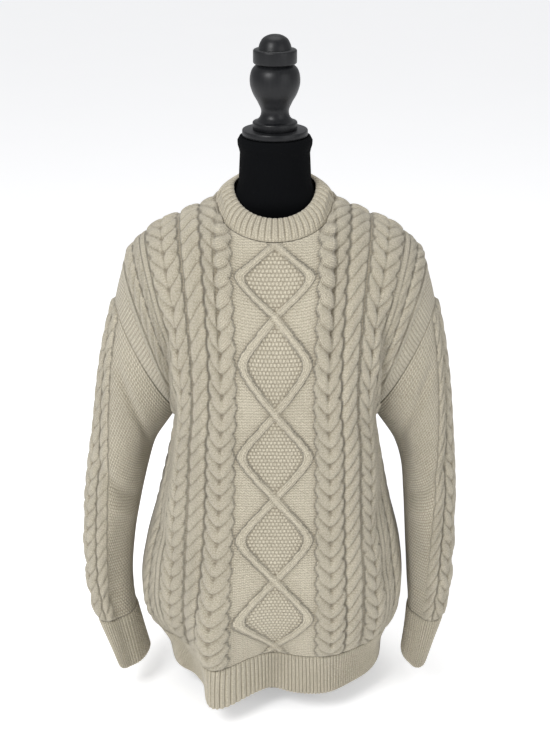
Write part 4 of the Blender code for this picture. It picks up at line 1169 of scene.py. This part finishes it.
@dataclass(frozen=True)
class HeatheredWool:
    """Undyed wool, knitted: pale fibres with darker ones spun in."""
    pale: tuple[float, float, float] = (0.625, 0.574, 0.452)
    grey: tuple[float, float, float] = (0.360, 0.320, 0.240)
    # shade is the colour of the painted shade in hollows and in gaps between stitches
    shade: tuple[float, float, float] = (0.165, 0.134, 0.088)
    stitch_depth: float = 0.0011
    # how much painted shade darkens the hollows, the gaps between stitches and the gaps in moss stitch
    hollow_shade: float = 0.44
    stitch_shade: float = 0.34
    moss_shade: float = 0.30
    moss_rows: float = 0.74

    def material(self) -> bpy.types.Material:
        """Make the finish.

        A plain stitch is a V of two arms: a sine across each arm times a sine up it, the arm rising
        outwards. A purl is a sine up, waved across. Moss is a chequer of round purls. The colour holds
        painted shade: it darkens in the relief's hollows, between stitches and in the gaps of moss stitch.

        Returns:
            The material.
        """
        mix = Recipe("Heathered wool")
        uv = mix.node("ShaderNodeUVMap", {"uv_map": "stitches"}, {}, "UV")
        across = mix.node("ShaderNodeSeparateXYZ", {}, {"0": uv}, "X")
        up = mix.node("ShaderNodeSeparateXYZ", {}, {"0": uv}, "Y")
        wander = mix.noise(260.0, 2.0) - 0.5
        across = across + wander * 0.22
        up = up + wander * 0.30
        arm = (across.fract() * 2.0 - 1.0).abs()
        arm_crown = (arm * math.pi).sin().abs() ** 0.6
        row = ((up - arm * 0.62).fract() * math.pi).sin()
        plain = arm_crown * (0.35 + row * 0.65)
        wave = ((up + (across * (2 * math.pi)).sin() * 0.16).fract() * math.pi).sin()
        purl = wave ** 0.7 * (0.62 + (across * (2 * math.pi)).sin().abs() * 0.38)
        step = up * self.moss_rows
        offset = step.floor() * 0.5
        pebble = (((across + offset).fract() * math.pi).sin() * (step.fract() * math.pi).sin()) ** 0.6
        purl_share, moss_share = mix.mask("purl"), mix.mask("moss")
        knitted = plain + (purl - plain) * purl_share
        knitted = knitted + (pebble * 1.25 - knitted) * moss_share
        hollow = mix.mask("hollow")
        mottle = mix.noise(620.0, 4.0, 0.75)
        tone = mix.noise(14.0, 2.0)
        heather = (mottle - 0.5) * 3.6 + 0.40 + (tone - 0.5) * 0.5
        colour = mix.mix(mix.node("ShaderNodeClamp", {}, {"Value": heather}, "Result"),
                         (*self.pale, 1.0), (*self.grey, 1.0))
        # painted shade: the colour darkens towards shade in the relief's hollows, between stitches and in the
        # gaps of moss stitch
        dark = hollow * self.hollow_shade + (1.0 - knitted) * self.stitch_shade
        dark = dark + moss_share * (1.0 - pebble) * self.moss_shade
        dark = mix.node("ShaderNodeClamp", {}, {"Value": dark}, "Result")
        mix.feed("Base Color", mix.mix(dark, colour, (*self.shade, 1.0)))
        fibre = mix.noise(1500.0, 3.0, 0.7)
        coarse = mix.bump(knitted, self.stitch_depth, 0.95)
        mix.feed("Normal", mix.bump(fibre, 0.0005, 0.55, coarse))
        mix.fixed(Roughness=0.93, Specular_IOR_Level=0.18, Sheen_Weight=0.22, Sheen_Roughness=0.55)
        return mix.material


@dataclass(frozen=True)
class Jersey:
    """Black stretch jersey drawn over the padded shell."""
    dark: tuple[float, float, float] = (0.0016, 0.0018, 0.0022)
    light: tuple[float, float, float] = (0.0050, 0.0054, 0.0062)

    def material(self) -> bpy.types.Material:
        """Make the finish: fine ribs of knit, a sine round by a sine up, under a soft nap; painted shade
        darkens the knit's grooves.
        """
        mix = Recipe("Black jersey")
        uv = mix.node("ShaderNodeUVMap", {"uv_map": "knit"}, {}, "UV")
        across = mix.node("ShaderNodeSeparateXYZ", {}, {"0": uv}, "X")
        up = mix.node("ShaderNodeSeparateXYZ", {}, {"0": uv}, "Y")
        rib = (across * (math.pi * 220)).sin().abs()
        course = (up * (math.pi * 620)).sin().abs()
        nap = mix.noise(900.0, 3.0, 0.7)
        knit = rib * 0.6 + course * 0.4
        # painted shade: the colour is darker in the grooves between ribs and courses and lighter on their
        # crowns; the nap adds random tone
        share = mix.node("ShaderNodeClamp", {}, {"Value": nap * 0.7 + knit * 0.3}, "Result")
        mix.feed("Base Color", mix.mix(share, (*self.dark, 1.0), (*self.light, 1.0)))
        mix.feed("Normal", mix.bump(knit + nap * 0.6, 0.0004, 0.6))
        mix.fixed(Roughness=0.92, Specular_IOR_Level=0.05)
        return mix.material


@dataclass(frozen=True)
class Lacquer:
    """Black satin lacquer over turned wood."""
    black: tuple[float, float, float] = (0.0040, 0.0044, 0.0055)
    worn: tuple[float, float, float] = (0.0110, 0.0112, 0.0125)

    def material(self) -> bpy.types.Material:
        """Make the finish: faint grain under the lacquer, and an uneven satin gloss."""
        mix = Recipe("Black lacquer")
        place = mix.node("ShaderNodeTexCoord", {}, {}, "Object")
        scale = (260.0, 260.0, 22.0)
        stretched = mix.node("ShaderNodeMapping", {}, {"Vector": place, "Scale": scale}, "Vector")
        grain = mix.node("ShaderNodeTexNoise", {}, {"Vector": stretched, "Scale": 1.0, "Detail": 3.0}, "0")
        cloudy = mix.noise(38.0, 3.0)
        share = mix.node("ShaderNodeClamp", {}, {"Value": (grain - 0.4) * 1.6 + (cloudy - 0.5)}, "Result")
        mix.feed("Base Color", mix.mix(share, (*self.black, 1.0), (*self.worn, 1.0)))
        mix.feed("Roughness", 0.34 + cloudy * 0.16)
        mix.feed("Normal", mix.bump(grain * 0.6 + mix.noise(240.0, 2.0) * 0.4, 0.0003, 0.22))
        mix.fixed(Specular_IOR_Level=0.28, Coat_Weight=0.08, Coat_Roughness=0.25)
        return mix.material


@dataclass(frozen=True)
class StudioPaper:
    """Plain pale paper under the form."""
    tone: float = 0.92

    def material(self) -> bpy.types.Material:
        """Make the finish: white with the faintest mottle."""
        mix = Recipe("Studio paper")
        cloud = mix.noise(3.0, 2.0)
        low = self.tone - 0.02
        mix.feed("Base Color", mix.mix(cloud, (low, low, low, 1.0), (self.tone, self.tone, self.tone, 1.0)))
        mix.fixed(Roughness=0.95, Specular_IOR_Level=0.1, Emission_Color=(1.0, 1.0, 1.0, 1.0),
                  Emission_Strength=0.42)
        return mix.material


# ---------------------------------------------------------------- the studio

@dataclass
class Studio:
    """Floor, lights and camera."""
    floor_half: float = 16.0
    camera_place: tuple[float, float, float] = (0.0, -1.977, 1.275)
    pitch: float = 21.5
    focal_pixels: float = 1500.0
    frame_height: int = 733

    def floor(self, look: bpy.types.Material) -> bpy.types.Object:
        """Make the floor, a flat square just under the form's bottom."""
        h = self.floor_half
        mesh = bpy.data.meshes.new("studio_floor")
        mesh.from_pydata([(-h, -h, 0), (h, -h, 0), (h, h, 0), (-h, h, 0)], [], [(0, 1, 2, 3)])
        mesh.materials.append(look)
        floor = bpy.data.objects.new("studio_floor", mesh)
        bpy.context.scene.collection.objects.link(floor)
        return floor

    def light(self, name: str, place: tuple[float, float, float], aim: tuple[float, float, float],
              size: float, power: float) -> None:
        """Add a square soft light.

        Args:
            name: Its name.
            place: Where it stands.
            aim: What it points at.
            size: Its side in metres.
            power: Its power in watts.
        """
        lamp = bpy.data.lights.new(name, "AREA")
        lamp.size, lamp.energy = size, power
        thing = bpy.data.objects.new(name, lamp)
        bpy.context.scene.collection.objects.link(thing)
        way = np.array(place) - np.array(aim)
        flat = math.hypot(way[0], way[1])
        thing.location = place
        thing.rotation_euler = (math.atan2(flat, way[2]), 0.0, math.atan2(way[0], -way[1]))

    def build(self) -> None:
        """Set the floor, the lights, the pale surround and the camera."""
        self.floor(StudioPaper().material())
        self.light("key", (-1.3, -1.9, 2.3), (0.0, 0.0, 0.45), 1.1, 50.0)
        self.light("fill", (1.9, -1.7, 1.4), (0.0, 0.0, 0.40), 1.8, 14.0)
        self.light("top", (0.0, 0.5, 2.8), (0.0, 0.0, 0.5), 1.6, 16.0)
        world = bpy.data.worlds.new("studio")
        bpy.context.scene.world = world
        world.use_nodes = True
        backdrop = world.node_tree.nodes["Background"]
        backdrop.inputs["Color"].default_value = (0.96, 0.97, 1.0, 1.0)
        backdrop.inputs["Strength"].default_value = 0.52
        camera = bpy.data.cameras.new("camera")
        camera.sensor_fit = "VERTICAL"
        camera.sensor_height = 36.0
        camera.lens = 36.0 * self.focal_pixels / self.frame_height
        thing = bpy.data.objects.new("camera", camera)
        thing.location = self.camera_place
        thing.rotation_euler = (math.radians(90.0 - self.pitch), 0.0, 0.0)
        bpy.context.scene.collection.objects.link(thing)
        bpy.context.scene.camera = thing
        bpy.context.scene.view_settings.view_transform = "Standard"


# ---------------------------------------------------------------- the whole

def dress(piece: bpy.types.Object, node: str) -> bpy.types.Object:
    """Let a piece stand for its solid and ride on the one body."""
    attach(piece, "root")
    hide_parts(node)
    log.info("%s stands for %s: %d faces", piece.name, node, len(piece.data.polygons))
    return piece


def body_creases(face: Face) -> tuple[Crease, ...]:
    """Creases of a body panel, listed one by one; the back's are calmer."""
    if face is Face.FRONT:
        return (
            Crease((-0.262, 0.46), (-0.150, 0.60), 0.013, -0.0065),
            Crease((-0.236, 0.44), (-0.165, 0.53), 0.012, 0.0050),
            Crease((0.262, 0.45), (0.160, 0.60), 0.014, -0.0070),
            Crease((0.232, 0.44), (0.176, 0.53), 0.012, 0.0050),
            Crease((-0.215, 0.28), (-0.130, 0.20), 0.022, -0.0045),
            Crease((0.220, 0.34), (0.150, 0.24), 0.024, -0.0050),
            Crease((0.120, 0.15), (0.215, 0.22), 0.020, -0.0040),
            Crease((-0.120, 0.08), (-0.150, 0.20), 0.018, -0.0045),
            Crease((-0.060, 0.63), (0.050, 0.615), 0.030, -0.0030),
        )
    return (
        Crease((-0.258, 0.46), (-0.150, 0.58), 0.014, -0.0060),
        Crease((0.260, 0.46), (0.155, 0.59), 0.014, -0.0055),
        Crease((-0.150, 0.33), (0.020, 0.29), 0.026, -0.0045),
        Crease((0.170, 0.30), (0.060, 0.20), 0.024, -0.0050),
        Crease((-0.200, 0.18), (-0.110, 0.11), 0.022, -0.0045),
        Crease((-0.080, 0.65), (0.090, 0.64), 0.028, -0.0030),
    )


def sleeve_creases(side: Side) -> tuple[Crease, ...]:
    """Creases of a sleeve, listed one by one: across the elbow, at the underarm and over the cuff."""
    flip = side.value
    return (
        Crease((-0.130 * flip, 0.300), (-0.010 * flip, 0.335), 0.014, -0.0055),
        Crease((-0.120 * flip, 0.265), (-0.030 * flip, 0.285), 0.012, 0.0040),
        Crease((-0.160 * flip, 0.455), (-0.070 * flip, 0.490), 0.014, -0.0060),
        Crease((0.150 * flip, 0.440), (0.060 * flip, 0.480), 0.015, -0.0055),
        Crease((0.120 * flip, 0.240), (0.030 * flip, 0.215), 0.015, -0.0050),
        Crease((-0.090 * flip, 0.125), (0.040 * flip, 0.110), 0.010, -0.0040),
        Crease((0.090 * flip, 0.150), (-0.020 * flip, 0.165), 0.012, -0.0040),
    )


def build_sweater(wool: bpy.types.Material) -> None:
    """Make every knitted piece; the flat size of each panel and sleeve is worked out but not kept."""
    cut = BodyCut()
    for face, word in ((Face.FRONT, "front"), (Face.BACK, "back")):
        panel = Panel(face, cut, creases=body_creases(face))
        piece = dress(panel.build("knit_panel_" + word, wool), word + "_panel")
        flat, area = panel.flat()
        rib = HemRib(face, cut)
        piece = dress(rib.build("knit_hem_" + word, wool), "hem_rib_" + word)
        2 * cut.half
    for side, word in ((Side.LEFT, "left"), (Side.RIGHT, "right")):
        sleeve_cut = SleeveCut(side, cut)
        sleeve = Sleeve(sleeve_cut, creases=sleeve_creases(side))
        piece = dress(sleeve.build("knit_sleeve_" + word, wool), "sleeve_" + word)
        flat, area = sleeve.flat()
        cuff = Cuff(sleeve_cut)
        piece = dress(cuff.build("knit_cuff_" + word, wool), "cuff_" + word)
    band = Neckband(cut)
    piece = dress(band.build("knit_neckband", wool), "neckband")


def main() -> None:
    """Build the form, the sweater and the studio in order."""
    logging.basicConfig(level=logging.INFO, format="%(message)s")
    form = DressForm()
    dress(form.torso("form_body", Jersey().material()), "form_torso")
    lacquer = Lacquer().material()
    dress(form.neck_plate("form_plate", lacquer), "neck_plate")
    dress(form.finial("form_finial", lacquer), "finial")
    build_sweater(HeatheredWool().material())
    Studio().build()


if __name__ == "__main__":
    main()
